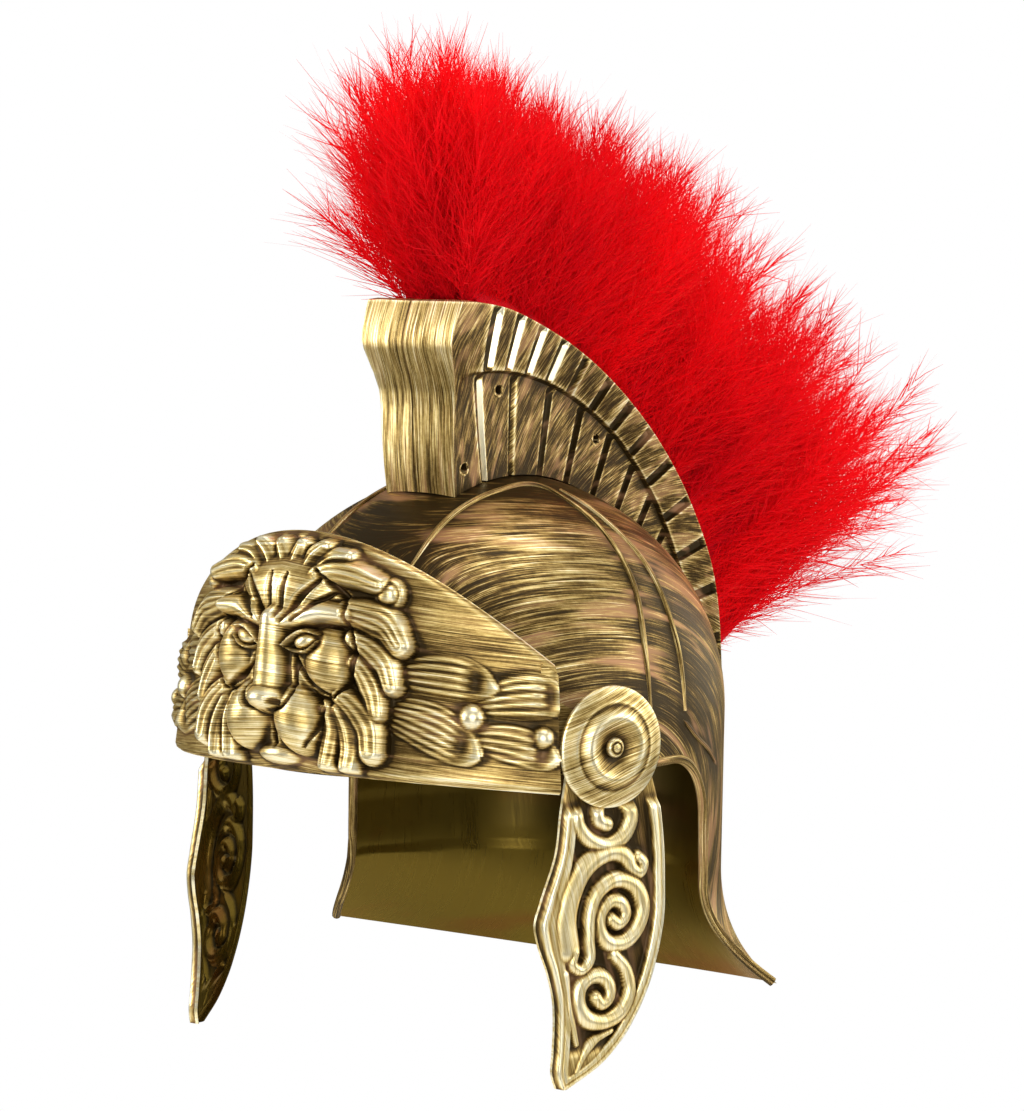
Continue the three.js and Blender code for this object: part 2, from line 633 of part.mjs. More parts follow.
function buildPlume() {
  const bodies = [plumeBody(0.96)];
  for (let i = 0; i < PLUME.columns; i += 1) {
    const beside = plumeLock((i + 0.3) / PLUME.columns, 1);
    bodies.push(plumeLock((i + 0.5) / PLUME.columns, 0), beside, mirrored(beside));
  }
  return joinAll(bodies).simplify(FLAT);
}

// Assembly
const helmet = new THREE.Group();
helmet.add(piece('dome', buildDome(), GOLD));
helmet.add(piece('visor', buildVisor(), PALE_GOLD));
const crestHalf = buildCrestHalf();
helmet.add(piece('crest_holder_left', crestHalf.subtract(screwHoles()), GOLD));
helmet.add(piece('crest_holder_right', mirrored(crestHalf), GOLD));
helmet.add(piece('plume', buildPlume(), RED));
const guard = buildGuard();
for (const [name, side] of [['left', 1], ['right', -1]]) {
  const stack = new THREE.Group();
  stack.applyMatrix4(sideBasis(side));
  stack.add(piece(`cheek_guard_${name}`, side > 0 ? guard : mirrored(guard), PALE_GOLD));
  stack.add(piece(`rosette_${name}`, buildRosette(), PALE_GOLD));
  stack.add(piece(`rivet_${name}`, buildRivet(), PALE_GOLD));
  helmet.add(stack);
}
helmet.position.set(0, -DOME.centreY, WALL - DOME.height);

export default helmet;
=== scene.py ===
import math
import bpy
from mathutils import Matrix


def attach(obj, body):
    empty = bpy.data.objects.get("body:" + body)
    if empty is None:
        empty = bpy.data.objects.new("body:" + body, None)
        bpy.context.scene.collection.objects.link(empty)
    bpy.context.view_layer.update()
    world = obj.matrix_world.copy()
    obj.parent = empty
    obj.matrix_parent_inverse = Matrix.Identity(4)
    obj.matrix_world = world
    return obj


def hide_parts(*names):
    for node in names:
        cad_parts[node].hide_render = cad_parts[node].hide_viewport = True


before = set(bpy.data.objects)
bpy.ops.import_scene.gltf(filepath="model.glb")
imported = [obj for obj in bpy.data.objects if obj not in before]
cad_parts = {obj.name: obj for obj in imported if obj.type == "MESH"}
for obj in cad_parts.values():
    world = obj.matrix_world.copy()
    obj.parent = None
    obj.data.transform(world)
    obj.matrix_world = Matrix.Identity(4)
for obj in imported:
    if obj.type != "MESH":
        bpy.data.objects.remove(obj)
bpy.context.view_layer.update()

from types import SimpleNamespace

import bpy
import numpy as np
from mathutils import Vector

bl_info = {
    "name": "Centurion Helmet",
    "version": (1, 0, 0),
    "blender": (4, 5, 0),
    "location": "View3D > Sidebar > Helmet",
    "description": "Builds a crested helmet with a lion visor, cheek guards and a feather plume",
    "category": "Add Mesh",
}

MM = 0.001
# The forms are laid out in millimetres about the pivot line of the cheek guards
LAYOUT_ORIGIN = np.array((0.0, 38.0, 91.5))
MIRROR = np.array((-1.0, 1.0, 1.0))
BOTH_SIDES = (1, -1)


def table(names, rows):
    """Named columns of numbers from short rows."""
    columns = zip(names.split(), zip(*rows))
    return SimpleNamespace(**{name: np.array(column, float) for name, column in columns})


# Smooth masses of the lion mask: arc length from the middle, height, half sizes, tilt, apex height, how round and
# how softly it joins. A form off the middle has its twin on the other side.
LION = table("s z long wide tilt high round soft", [
    (0, 33, 39, 28, 90, 11.8, 0.5, 2),
    (0, 56, 26, 15, 0, 15.0, 0.5, 5),
    (0, 17.4, 9.6, 6.6, 0, 22.0, 0.42, 2.5),
    (20.6, 32.2, 14.2, 10.2, 98, 15.4, 0.36, 1.0),
    (10.6, 11.2, 14.6, 10.6, 106, 18.0, 0.42, 1.0),
    (0, -2.4, 11, 4.6, 0, 9.0, 0.5, 2),
])
# Ridges and locks of the mask: half width at the start, middle and end, height, roundness, softness, strands across,
# then arc length and height of each point
LOCKS = [
    (6.2, 7.4, 7.8, 19.4, 0.36, 2.5, 0, [(0, 46), (0, 38), (0, 28), (0, 19)]),
    (3.8, 5.8, 4.4, 16.8, 0.45, 2.5, 0, [(2.5, 43.8), (9, 46.4), (18, 49), (27, 48.8)]),
    (5.0, 6.0, 4.6, 12.4, 0.4, 1.0, 4, [(14, 62.6), (21, 64), (30, 62.8), (38.5, 60)]),
    (5.6, 8.0, 5.4, 12.8, 0.38, 1.0, 6, [(27, 50), (34, 48.6), (42, 45.4), (46.8, 38.6)]),
    (4.6, 6.2, 4.4, 12.0, 0.38, 0.9, 4, [(30, 40.6), (36, 37.4), (42, 31.8), (44.6, 24)]),
    (4.4, 5.8, 4.0, 11.4, 0.38, 0.9, 4, [(31, 32), (35, 27), (38, 21), (39.6, 14)]),
    (4.6, 6.4, 5.4, 11.6, 0.38, 0.9, 4, [(26, 20), (31.6, 15.6), (36.4, 9), (37.6, 0.5)]),
    (3.8, 5.0, 4.4, 10.8, 0.38, 0.9, 3, [(25.4, 15), (28.8, 8.4), (30.2, 1.5), (29.6, -5)]),
    (3.4, 4.6, 4.2, 10.8, 0.38, 0.9, 3, [(20.4, 16), (23, 9), (22.6, 2), (21.6, -4.6)]),
    (2.8, 4.6, 3.6, 9.6, 0.4, 0.8, 3, [(1.5, 64.5), (3, 68.5), (5, 73)]),
    (2.8, 4.8, 3.6, 10.0, 0.4, 0.8, 3, [(8, 65), (11, 69.5), (15.5, 73)]),
    (2.8, 4.4, 3.4, 10.0, 0.4, 0.8, 3, [(14.5, 66.2), (19.5, 69), (25.5, 69.6)]),
]
# Eye of the mask: place, half sizes, slope, floor of the socket and height of the ball
EYE = SimpleNamespace(s=13.0, z=38.6, long=4.8, wide=3.2, slope=0.35, floor=11.4, high=4.0)
# Lids: half width, height, then arc length and height of each point
LIDS = [
    (1.25, 16.6, [(5.2, 36.6), (8.6, 40), (13.4, 42.4), (18.4, 41.6)]),
    (1.05, 15.2, [(5.2, 36.2), (9.6, 34.8), (14.6, 35.4), (18.4, 38.8)]),
]
# The round ear of the mask: place, radius, height, ring radius
EAR_BALL = SimpleNamespace(s=41.7, z=56.8, radius=6.8, high=10.5, ring=4.0)
# Nostril: place, half sizes and depth
NOSTRIL = SimpleNamespace(s=5.2, z=16.2, long=2.0, wide=1.5, deep=2.2)
# Low ground under the mane: middle, half sizes, height and how square its outline is
MANE = SimpleNamespace(z=33.5, wide=49, tall=40, high=6.8, square=2.6)
# Height of the strands combed into the mane's locks and into the leaves
LOCK_STRAND, LEAF_STRAND = 0.36, 0.42
# Creases cut in the mask: half width, depth, then arc length and height of each point
CREASES = [
    (1.5, 2.0, [(2.4, 47), (2.6, 54), (3.4, 62.5)]),
    (1.8, 2.6, [(4.4, 45.5), (9, 53), (16.3, 61)]),
    (1.7, 2.4, [(8.5, 46), (13.6, 50.6), (21.5, 56.4)]),
    (1.3, 2.2, [(8.8, 33), (12, 27.4), (17.4, 22.8), (23, 19.6)]),
    (1.5, 2.6, [(14.5, 64.5), (21.5, 58.6), (27, 52.6), (28.4, 46)]),
    (1.3, 2.4, [(8.4, 37), (9, 29), (9.2, 22)]),
    (1.3, 3.0, [(0, 12.2), (0, 4), (0, 0)]),
    (1.2, 2.2, [(2.5, 13), (7.5, 14.6), (10, 19.6), (9.6, 24)]),
    (1.4, 2.2, [(28.6, 45), (31, 40), (31, 32.5), (28.6, 24), (24, 19)]),
    (1.1, 1.6, [(16.5, 20), (20.6, 15.5), (19.4, 8), (15, 1)]),
]

# Leaves beside the mask: root and tip on the band, half width, height and strands
LEAVES = table("root_s root_z tip_s tip_z wide high strands", [
    (36, 28.6, 82, 23.6, 12.0, 5.4, 6),
    (33, 17.0, 76, -0.6, 13.0, 5.4, 7),
    (69, 17.4, 108, 19.2, 12.6, 5.4, 6),
    (66, 6.6, 104, -2.4, 10.4, 4.9, 5),
])
BERRIES = table("s z radius high", [
    (72.4, 13.6, 5.4, 6.6),
    (97.8, 5.9, 4.6, 5.6),
])

# How fast the visor's upper edge falls towards its ends
VISOR_ARCH = 1.27
# The middle of the band, out to this arc length, takes this share of the columns
FINE_SPAN, FINE_SHARE = 52.0, 0.66
# Where a tab leaves the band: distance from the band's end, height on the band, low and high edge
TAB_ROOT = table("inset z low high", [(6, 13.5, 4, 33), (0.5, 13.5, 3, 29)])
# The bent tab from there to the visor's ear: forward of the pivot, out along the rivet, low and high edge
TAB = table("forward out low high", [
    (22.9, 7.3, 0, 21),
    (10, 7.3, -7, 13),
    (0, 7.3, -11.5, 11.5),
    (-8, 7.3, -8.2, 8.2),
    (-11.2, 7.3, -2.5, 2.5),
])

# Where the inner faces of a cheek guard and of its rosette lie along the rivet, and the hole for the rivet
GUARD_SEAT, ROSETTE_SEAT, PIN_HOLE = 8.6, 10.9, 2.9
# Between which distances from the edge a cheek guard's border falls to the field, and where its relief begins below
# the rosette
BORDER = SimpleNamespace(inner=5.0, outer=6.2, clear_from=19.5, clear_to=24.5)
# Cheek guard edges below the pivot: drop, front edge, rear edge
GUARD_EDGE = table("drop front rear", [
    (-6, 17, -17.5),
    (8, 17.8, -19.5),
    (23, 20.3, -23.6),
    (38, 22.6, -25.4),
    (55, 29.5, -25.7),
    (63, 32.3, -25.5),
    (70, 31.1, -24.4),
    (80.5, 27.3, -21.6),
    (91, 24.8, -17.4),
    (101, 24.6, -11.5),
    (111, 25.4, -3),
    (119, 26.1, 8),
    (124, 24.5, 19),
])
# Raised scrolls of a cheek guard: half width at the start, middle and end, height, then forward and height of points
SCROLLS = [
    (2.6, 3.4, 2.8, 3.4, [(15, -19), (14, -28), (8.5, -34), (1, -36.4), (-6, -33.4), (-9.5, -26.5), (-7, -20.5),
                          (0, -18.5), (5, -21.6), (5, -26.6), (1.4, -28.6)]),
    (5.4, 4.2, 2.6, 3.6, [(19.5, -73), (20.5, -62), (17.5, -52), (12, -44), (5, -39.8), (-2.5, -39), (-7.5, -42),
                          (-9.8, -46), (-13, -47.5), (-14.6, -44.4), (-12.4, -42.2)]),
    (2.2, 3.5, 2.8, 3.9, [(17, -74), (18, -78.5), (14.5, -81), (10.6, -78), (10.4, -70), (9.8, -61.5), (6.6, -54),
                          (-2, -49.4), (-10.6, -52.4), (-14.2, -59.5), (-12, -67.6), (-5, -73), (2, -72),
                          (5.6, -66.6), (4.9, -60.8), (0.2, -57), (-5, -58.8), (-6, -63), (-2.8, -65.6),
                          (0.4, -63.6)]),
    (2.4, 3.5, 2.6, 3.8, [(-1, -77), (-6.2, -83), (-7.6, -91.6), (-3.2, -98.6), (5, -101.2), (12.4, -98.8),
                          (15.6, -92.8), (14.6, -87.2), (10, -84), (4.2, -84.8), (1.4, -88.6), (2.2, -92.8),
                          (5.2, -94.6), (7.6, -92)]),
    (2.6, 2.2, 1.2, 2.8, [(21.5, -82), (20.4, -92), (18.6, -100), (16.8, -108)]),
    (1.4, 2.2, 1.4, 2.6, [(1, -105), (8, -107.4), (14, -113), (17, -118)]),
]

# The rivets stand a little ahead of the layout's origin
PIVOT_Y = -3.0
# Neck guard's rim: a place on it, how it falls towards the back, and the middle of its plan circle
RIM = SimpleNamespace(y=82.0, z=-101.4, fall=0.246, middle=17.5)
# Waist of the neck against the bowl, and how late the wall flares out below it
WAIST = SimpleNamespace(wide=1.015, long=0.945, flare=2.2)
# Ear arch from the side: middle and radius of its corner, the foot of its upright edge, and the bend down to the rim
ARCH = SimpleNamespace(y=40.0, z=-37.0, radius=26.0, post_y=66.0, post_z=-66.0, bend_y=67.0, bend_z=-84.0)
# Where the brush strokes turn on the side of the dome, how they are squeezed front to back and stretched lengthwise
STROKES = SimpleNamespace(y=2.0, z=-30.0, narrow=0.72, stretch=1.2)
# Ribs on the side of the dome: angle down from the crown, plan angle from +X towards the back
RIBS = [
    table("down plan", [(47.5, -68.6), (32.6, -61.6), (19.8, -37), (17.8, 1), (32.3, 4), (51.8, 0.6), (71.5, -5),
                        (84, -6)]),
    table("down plan", [(21.5, 14), (31.7, 11.7), (51.4, 10.8), (69.6, 7.5), (86.2, 6)]),
]
# A fainter rib behind the ear arch
ARCH_RIB = table("y z", [(48, 3), (58, -4.5), (70, -11.5), (80.6, -19.1)])
RIB_STEPS, FAINT_STEPS = 90, 40
# Boss on the dome under a rivet: radius, height over the dome and wear
BOSS = table("radius height wear", [(0.1, -1, 0), (9, -1, 0), (9, 6, 0), (2.9, 6, 0), (2.9, -2, -0.5)])

# Rosette profile: radius, height over its seat and wear
ROSETTE = table("radius height wear", [
    (2.9, 0, -1), (7, 0, -0.6), (9, 2.6, -0.6), (16, 2.2, -0.6), (21.5, 1, -0.4), (22.3, 1, 0.2), (22.5, 1.2, 0.8),
    (22.5, 2.1, 0.9), (22.3, 2.35, 1), (21.4, 2.6, 0.6), (19.5, 3.3, 0.3), (17.4, 4.1, 0.5), (16.8, 4.25, 0.7),
    (16.2, 4.25, 0.1), (15.7, 4.25, -0.45), (15.1, 4.5, -0.1), (14, 5.2, 0.4), (12.8, 6.05, 0.7), (11.8, 6.4, 0.9),
    (10.8, 6.35, 0.8), (9.6, 6, 0.4), (8, 5.2, 0.2), (6.6, 4.4, 0), (5.6, 3.8, -0.4), (4.8, 3.5, -0.8),
    (2.9, 3.3, -1),
])
# Stud profile: radius, height along the rivet and wear
RIVET = table("radius height wear", [
    (0, -5, -0.2), (3.5, -5, 0), (5, -3, 0.2), (2.5, -3, -0.6), (2.5, 14.5, -0.8), (3.5, 14.5, -0.6),
    (3.7, 14.7, 0.4), (3.7, 15.6, 0.8), (3.2, 16.3, 1), (2.6, 16.6, 0.4), (2.1, 16.5, -0.7), (1.8, 16.5, -0.6),
    (1.4, 16.9, 0.6), (0, 17.0, 0.6),
])

# Crest box about the dome's centre: angle back from upright, top and step radius
CREST_ARC = table("angle top step", [
    (-16, 167, 137.5),
    (-5, 158.2, 134),
    (4, 150.3, 130.6),
    (14, 143.6, 127),
    (22, 139.6, 124.5),
    (32, 136.2, 122.4),
    (42, 134.6, 120.3),
    (52, 134.3, 119.4),
    (62, 135, 119),
    (74, 137.4, 121),
    (90, 139.6, 123.4),
])
# Section of the crest box: share of the lower row, share of the upper row, half width, how far the front stands out
CREST_SECTION = table("lower upper half front", [
    (0, 0, 16.4, -1.3),
    (0.5, 0, 17.2, -0.6),
    (0.97, 0, 18, 0),
    (1, 0, 20, 4),
    (1, 0.42, 21.4, 7.6),
    (1, 0.8, 22.4, 5.2),
    (1, 1, 22.8, 2.4),
])
# The same section at the front, without the step: share of the height, half width, how far it stands out
FRONT_SECTION = table("height half front", [
    (0, 16.4, -1.3), (0.25, 17.1, -0.7), (0.46, 17.7, -0.1), (0.54, 18.2, 1.0), (0.62, 19.3, 3.4), (0.74, 21, 6.9),
    (0.79, 21.5, 7.5), (0.86, 22, 6.4), (1, 22.8, 2.4),
])
# Where the lines across the crest box start: foot, step and top, degrees back from upright
CREST_SPAN = SimpleNamespace(foot=-23.4, step=-15.6, top=-12.9, rear=90.0, units=24)
# Slots between the plates, in units of a 24th of the crest's length; the lower ones slant back to the foot
UPPER_SLOTS = np.array((1.63, 2.81, 4.05, 5.39, 6.85, 8.55, 10.25, 12.0, 13.9, 16.0, 18.1, 20.25, 22.4))
LOWER_SLOTS = np.array((1.9, 4.1, 6.5, 8.8, 11.2, 13.4, 15.4, 17.3, 19.3, 21.4))
SLOT_SLANT = 0.7
# Place on the section, in rows of its table, that parts the upper plates from the lower ones
LEDGE = 2.5
# Share of the front's height up to the step
STEP_SHARE = 0.62
# How much narrower the crest box is at the rear, and how far from its ends the plume starts, in degrees
CREST_TAPER, PLUME_INSET = 0.12, 2.5
# Screw holes in the left half: angle back from upright and radius about the dome's centre
SCREWS = table("angle radius", [(-4.8, 126.4), (-17.6, 101.9), (27.2, 116.4)])
# A screw hole from its outer edge inward: radius, height over the wall and wear
SCREW_RING = table("radius height wear", [(3.4, -0.5, -0.2), (2.9, 0.06, 0.3), (2.2, 0.08, 0.2), (1.75, -0.4, -1),
                                          (1.75, -3, -2), (0.01, -3, -2)])
SCREW_CUT = 2.3

# Plume: share of the way along the crest, direction up from +Y, length beyond the crest, thickness
PLUME_FAN = table("share lift length thick", [
    (0, 97, 114, 0.8),
    (0.12, 90, 113, 0.9),
    (0.26, 81, 114, 1.05),
    (0.4, 71, 119, 1.2),
    (0.55, 60, 125, 1.35),
    (0.7, 50, 132, 1.45),
    (0.84, 42, 149, 1.5),
    (1, 32, 172, 1.45),
])
# Inner body of the plume: share of its height and half thickness
PLUME_SECTION = table("along half", [(-1, 1), (0, 1), (0.15, 1.5), (0.5, 1.7), (0.82, 1.3), (1, 0.35)])
# Length of a barb by its place on the shaft, and width along the barb
BARB_LENGTH = table("along share", [(0.05, 0.3), (0.25, 0.9), (0.6, 1.0), (0.85, 0.72), (1.0, 0.34)])
BARB_WIDTH = table("along share", [(0, 1.0), (0.5, 0.78), (1, 0.16)])

# Paint from the recesses to the worn edges: stop, red, green, blue
GOLD_RAMP = table("stop red green blue", [
    (0.0, 0.020, 0.011, 0.002),
    (0.22, 0.080, 0.045, 0.010),
    (0.42, 0.27, 0.17, 0.047),
    (0.60, 0.52, 0.375, 0.125),
    (0.8, 0.80, 0.65, 0.31),
    (1.0, 0.97, 0.89, 0.62),
])
# Gold finishes: how much gold, how strong the streaks are, how much copper shows and how fine the strokes are
FINISHES = {
    "gold_dome": (0.27, 0.92, 0.85, 1.15),
    "gold_visor": (0.45, 0.62, 0.35, 0.9),
    "gold_guard": (0.41, 0.36, 0.3, 0.9),
    "gold_crest": (0.36, 0.86, 0.6, 0.9),
    "gold_boss": (0.40, 0.74, 0.4, 0.9),
}

# Studio lights: place in metres, width and height of the panel
LIGHTS = {
    "key": ((-1.25, -1.35, 0.42), 1.1, 1.5),
    "fill": ((1.5, -1.2, 0.25), 0.4, 1.5),
    "front": ((1.0, -1.65, 0.2), 0.4, 1.4),
    "side": ((1.5, 1.05, 0.3), 1.7, 1.3),
    "back": ((0.25, 2.0, 0.3), 0.9, 1.3),
    "top": ((0.35, 0.3, 1.6), 1.2, 1.2),
}
# The point that the camera and the lights face, and the radius of the floor, in metres
TARGET = Vector((0, 0.0214, -0.0328))
FLOOR_RADIUS = 0.98


# Sizes and colours

def number(name, description, value):
    return bpy.props.FloatProperty(name=name, description=description, default=value)


def length(name, description, value):
    return bpy.props.FloatProperty(name=name, description=description, default=value * MM, unit="LENGTH", precision=4)


def power(name, value):
    return bpy.props.FloatProperty(name=name, description=f"Power of the {name.lower()} light", default=value,
                                   unit="POWER")


def angle(name, description, degrees):
    return bpy.props.FloatProperty(name=name, description=description, default=math.radians(degrees), subtype="ANGLE")


def colour(name, description, value):
    return bpy.props.FloatVectorProperty(name=name, description=description, default=value, size=3, min=0, max=1,
                                         subtype="COLOR")


def count(name, description, value):
    return bpy.props.IntProperty(name=name, description=description, default=value, min=1)


class HelmetDome(bpy.types.PropertyGroup):
    half_width: length("Half width", "Half the width of the skull bowl", 90)
    half_length: length("Half length", "Half the length of the skull bowl", 107)
    height: length("Height", "Height of the crown over the pivot line", 93.5)
    centre: length("Centre", "How far the bowl's centre lies behind the pivot line", 38)
    wall: length("Wall", "Thickness of the moulded wall", 2)
    brow: length("Brow", "Depth of the bowl's front edge below the pivot line", 11)
    waist: length("Waist", "Depth of the neck's waist below the pivot line", 62)
    rim_radius: length("Rim radius", "Plan radius of the neck guard's rim", 127.5)
    bead: length("Bead", "Radius of the bead along the ear arch", 1.9)
    rib: length("Rib", "Radius of the raised ribs", 1.3)


class HelmetVisor(bpy.types.PropertyGroup):
    radius: length("Radius", "Radius of the brow band at the pivot's height", 114.5)
    slope: number("Slope", "How much the band narrows upward", 0.137)
    top: length("Top", "Height of the upper edge at the middle", 78.5)
    bottom: length("Bottom", "Depth of the lower edge at the middle", 8.6)
    droop: length("Droop", "How much lower the ends of the band hang", 6)
    end: angle("End", "Plan angle at which the band ends", 52)
    columns: count("Columns", "Cells along the band", 330)
    rows: count("Rows", "Cells up the band", 190)


class HelmetGuard(bpy.types.PropertyGroup):
    reach: length("Reach", "How far the guard hangs below its pivot", 124)
    top: length("Top", "How far the guard rises above its pivot", 18)
    splay: length("Splay", "How far the tip bows outward", 3)
    border: length("Border", "Height of the raised border", 2.3)
    toe_in: angle("Toe in", "Turn of the pivot axis towards the front", 18)
    columns: count("Columns", "Cells across the guard", 92)
    rows: count("Rows", "Cells down the guard", 236)


class HelmetCrest(bpy.types.PropertyGroup):
    groove: length("Groove", "Depth of the slots between the plates", 1.6)
    groove_half: number("Half groove", "Half width of a slot in plate units", 0.22)
    ridge: length("Ridge", "How far the front seam stands out", 2.6)
    gap: length("Gap", "Gap between the two halves", 0.3)


class HelmetPlume(bpy.types.PropertyGroup):
    feathers: count("Feathers", "Number of feathers", 1000)
    barbs: count("Barbs", "Barbs on each feather", 112)
    barb_length: length("Barb length", "Length of the longest barbs", 28)
    barb_width: length("Barb width", "Width of a barb at its root", 0.42)
    half_strip: length("Half strip", "Half width of the backing strip", 18)
    half_body: length("Half body", "Half thickness of the inner body", 7)
    seed: bpy.props.IntProperty(name="Seed", description="Seed of the feathers", default=7)


class HelmetPaint(bpy.types.PropertyGroup):
    copper: colour("Copper", "Warm tint in the broad streaks", (0.46, 0.24, 0.12))
    lining: colour("Lining", "Smooth paint on the inside", (0.12, 0.078, 0.009))
    lining_dark: colour("Lining dark", "Unlit paint deep inside", (0.014, 0.009, 0.002))
    lining_red: colour("Lining red", "Reddish tint on the inside", (0.14, 0.034, 0.008))
    red: colour("Red", "Lit feathers", (0.98, 0.006, 0.012))
    # Crimson is the painted shade deep in the plume
    crimson: colour("Crimson", "Feathers in the depth of the plume", (0.50, 0.0, 0.012))
    tip: colour("Tip", "Feather tips that catch the light", (1.0, 0.15, 0.07))
    floor: colour("Floor", "Studio floor", (0.86, 0.86, 0.86))


class HelmetStage(bpy.types.PropertyGroup):
    azimuth: angle("Azimuth", "Direction of the camera round the helmet", 37)
    elevation: angle("Elevation", "Height of the camera over the horizon", 5.96)
    distance: length("Distance", "Camera distance", 1497.6)
    lens: number("Lens", "Focal length in millimetres", 123.75)
    floor_drop: length("Floor drop", "Floor below the helmet's seat", 620)
    key: power("Key", 34.0)
    fill: power("Fill", 15.0)
    top: power("Top", 14.0)
    front: power("Front", 9.0)
    side: power("Side", 21.0)
    back: power("Back", 9.0)
    sky: number("Sky", "Strength of the studio's own light", 0.3)


GROUPS = {"helmet_dome": HelmetDome, "helmet_visor": HelmetVisor, "helmet_guard": HelmetGuard,
          "helmet_crest": HelmetCrest, "helmet_plume": HelmetPlume, "helmet_paint": HelmetPaint,
          "helmet_stage": HelmetStage}


def sizes(scene):
    """The scene's settings by group, lengths in millimetres."""
    found = SimpleNamespace()
    for key in ("dome", "visor", "guard", "crest", "plume"):
        group = getattr(scene, "helmet_" + key)
        values = {}
        for name, prop in group.bl_rna.properties.items():
            if prop.type in {"FLOAT", "INT"}:
                scale = 1 / MM if prop.unit == "LENGTH" else 1
                values[name] = getattr(group, name) * scale
        setattr(found, key, SimpleNamespace(**values))
    return found


# Small maths

TINY, FAR = 1e-9, 1e9


def smooth(x, low, high):
    """A smooth step from 0 at low to 1 at high."""
    t = np.clip((x - low) / (high - low), 0, 1)
    return t * t * (3 - 2 * t)


def lerp(a, b, t):
    return a + (b - a) * t


def swell(x, middle, reach):
    """A rise of height 1 about the middle."""
    return np.exp(-(((x - middle) / reach) ** 2))


def rounded(d, power=0.5):
    """Height of a rounded form, from 1 in its middle to 0 at distance 1."""
    return np.clip(1 - d * d, 0, 1) ** power


def unit(vectors):
    return vectors / (np.linalg.norm(vectors, axis=-1)[..., None] + TINY)


def stacked(*columns):
    """Points or flow from columns that broadcast together."""
    return np.stack(np.broadcast_arrays(*columns), -1)


def curve(stops, values, at):
    """A smooth curve through values at rising stops."""
    stops, values = np.asarray(stops, float), np.asarray(values, float)
    slopes = np.gradient(values, stops)
    at = np.clip(at, stops[0], stops[-1])
    i = np.clip(np.searchsorted(stops, at, side="right") - 1, 0, len(stops) - 2)
    wide = stops[i + 1] - stops[i]
    t = (at - stops[i]) / wide
    return ((2 * t**3 - 3 * t**2 + 1) * values[i] + (t**3 - 2 * t**2 + t) * wide * slopes[i]
            + (3 * t**2 - 2 * t**3) * values[i + 1] + (t**3 - t**2) * wide * slopes[i + 1])


def through(points, steps):
    """Evenly many points on a smooth curve through the given ones."""
    points = np.asarray(points, float)
    along = np.concatenate(([0], np.cumsum(np.linalg.norm(np.diff(points, axis=0), axis=1))))
    at = np.linspace(0, along[-1], steps)
    return np.stack([curve(along, points[:, k], at) for k in range(points.shape[1])], -1)


def soft_max(a, b, soft):
    """The larger of two heights, with a soft joint between them."""
    h = np.maximum(soft - np.abs(a - b), 0) / soft
    return np.maximum(a, b) + h * h * soft / 4


def blurred(grid, radius):
    """A grid of heights blurred by a few passes of a box."""
    for axis in (0, 1):
        for _ in range(2):
            padded = np.pad(grid, [(radius + 1, radius) if k == axis else (0, 0) for k in (0, 1)], mode="edge")
            total = np.cumsum(padded, axis=axis)
            n = grid.shape[axis]
            high = np.take(total, np.arange(n) + 2 * radius + 1, axis=axis)
            grid = (high - np.take(total, np.arange(n), axis=axis)) / (2 * radius + 1)
    return grid


def cord(p, q, points, widths, high, power=0.5):
    """Height of a rounded cord laid along a curve on a plate, and the offset from its middle in half widths."""
    steps = 8 * len(points)
    line = through(points, steps)
    height, offset = np.zeros_like(p), np.zeros_like(p)
    near = np.full(p.shape, FAR)
    size = np.interp(np.linspace(0, 1, steps), np.linspace(0, 1, len(widths)), widths)
    for k in range(steps - 1):
        a, edge = line[k], line[k + 1] - line[k]
        t = np.clip(((p - a[0]) * edge[0] + (q - a[1]) * edge[1]) / max(edge @ edge, TINY), 0, 1)
        dp, dq = p - a[0] - t * edge[0], q - a[1] - t * edge[1]
        wide = lerp(size[k], size[k + 1], t)
        d = np.hypot(dp, dq) / wide
        height = np.maximum(height, high * rounded(d, power))
        closer = d < near
        near = np.where(closer, d, near)
        offset = np.where(closer, np.sign(edge[0] * dq - edge[1] * dp) * d, offset)
    return height, np.clip(offset, -1, 1)


# Meshes

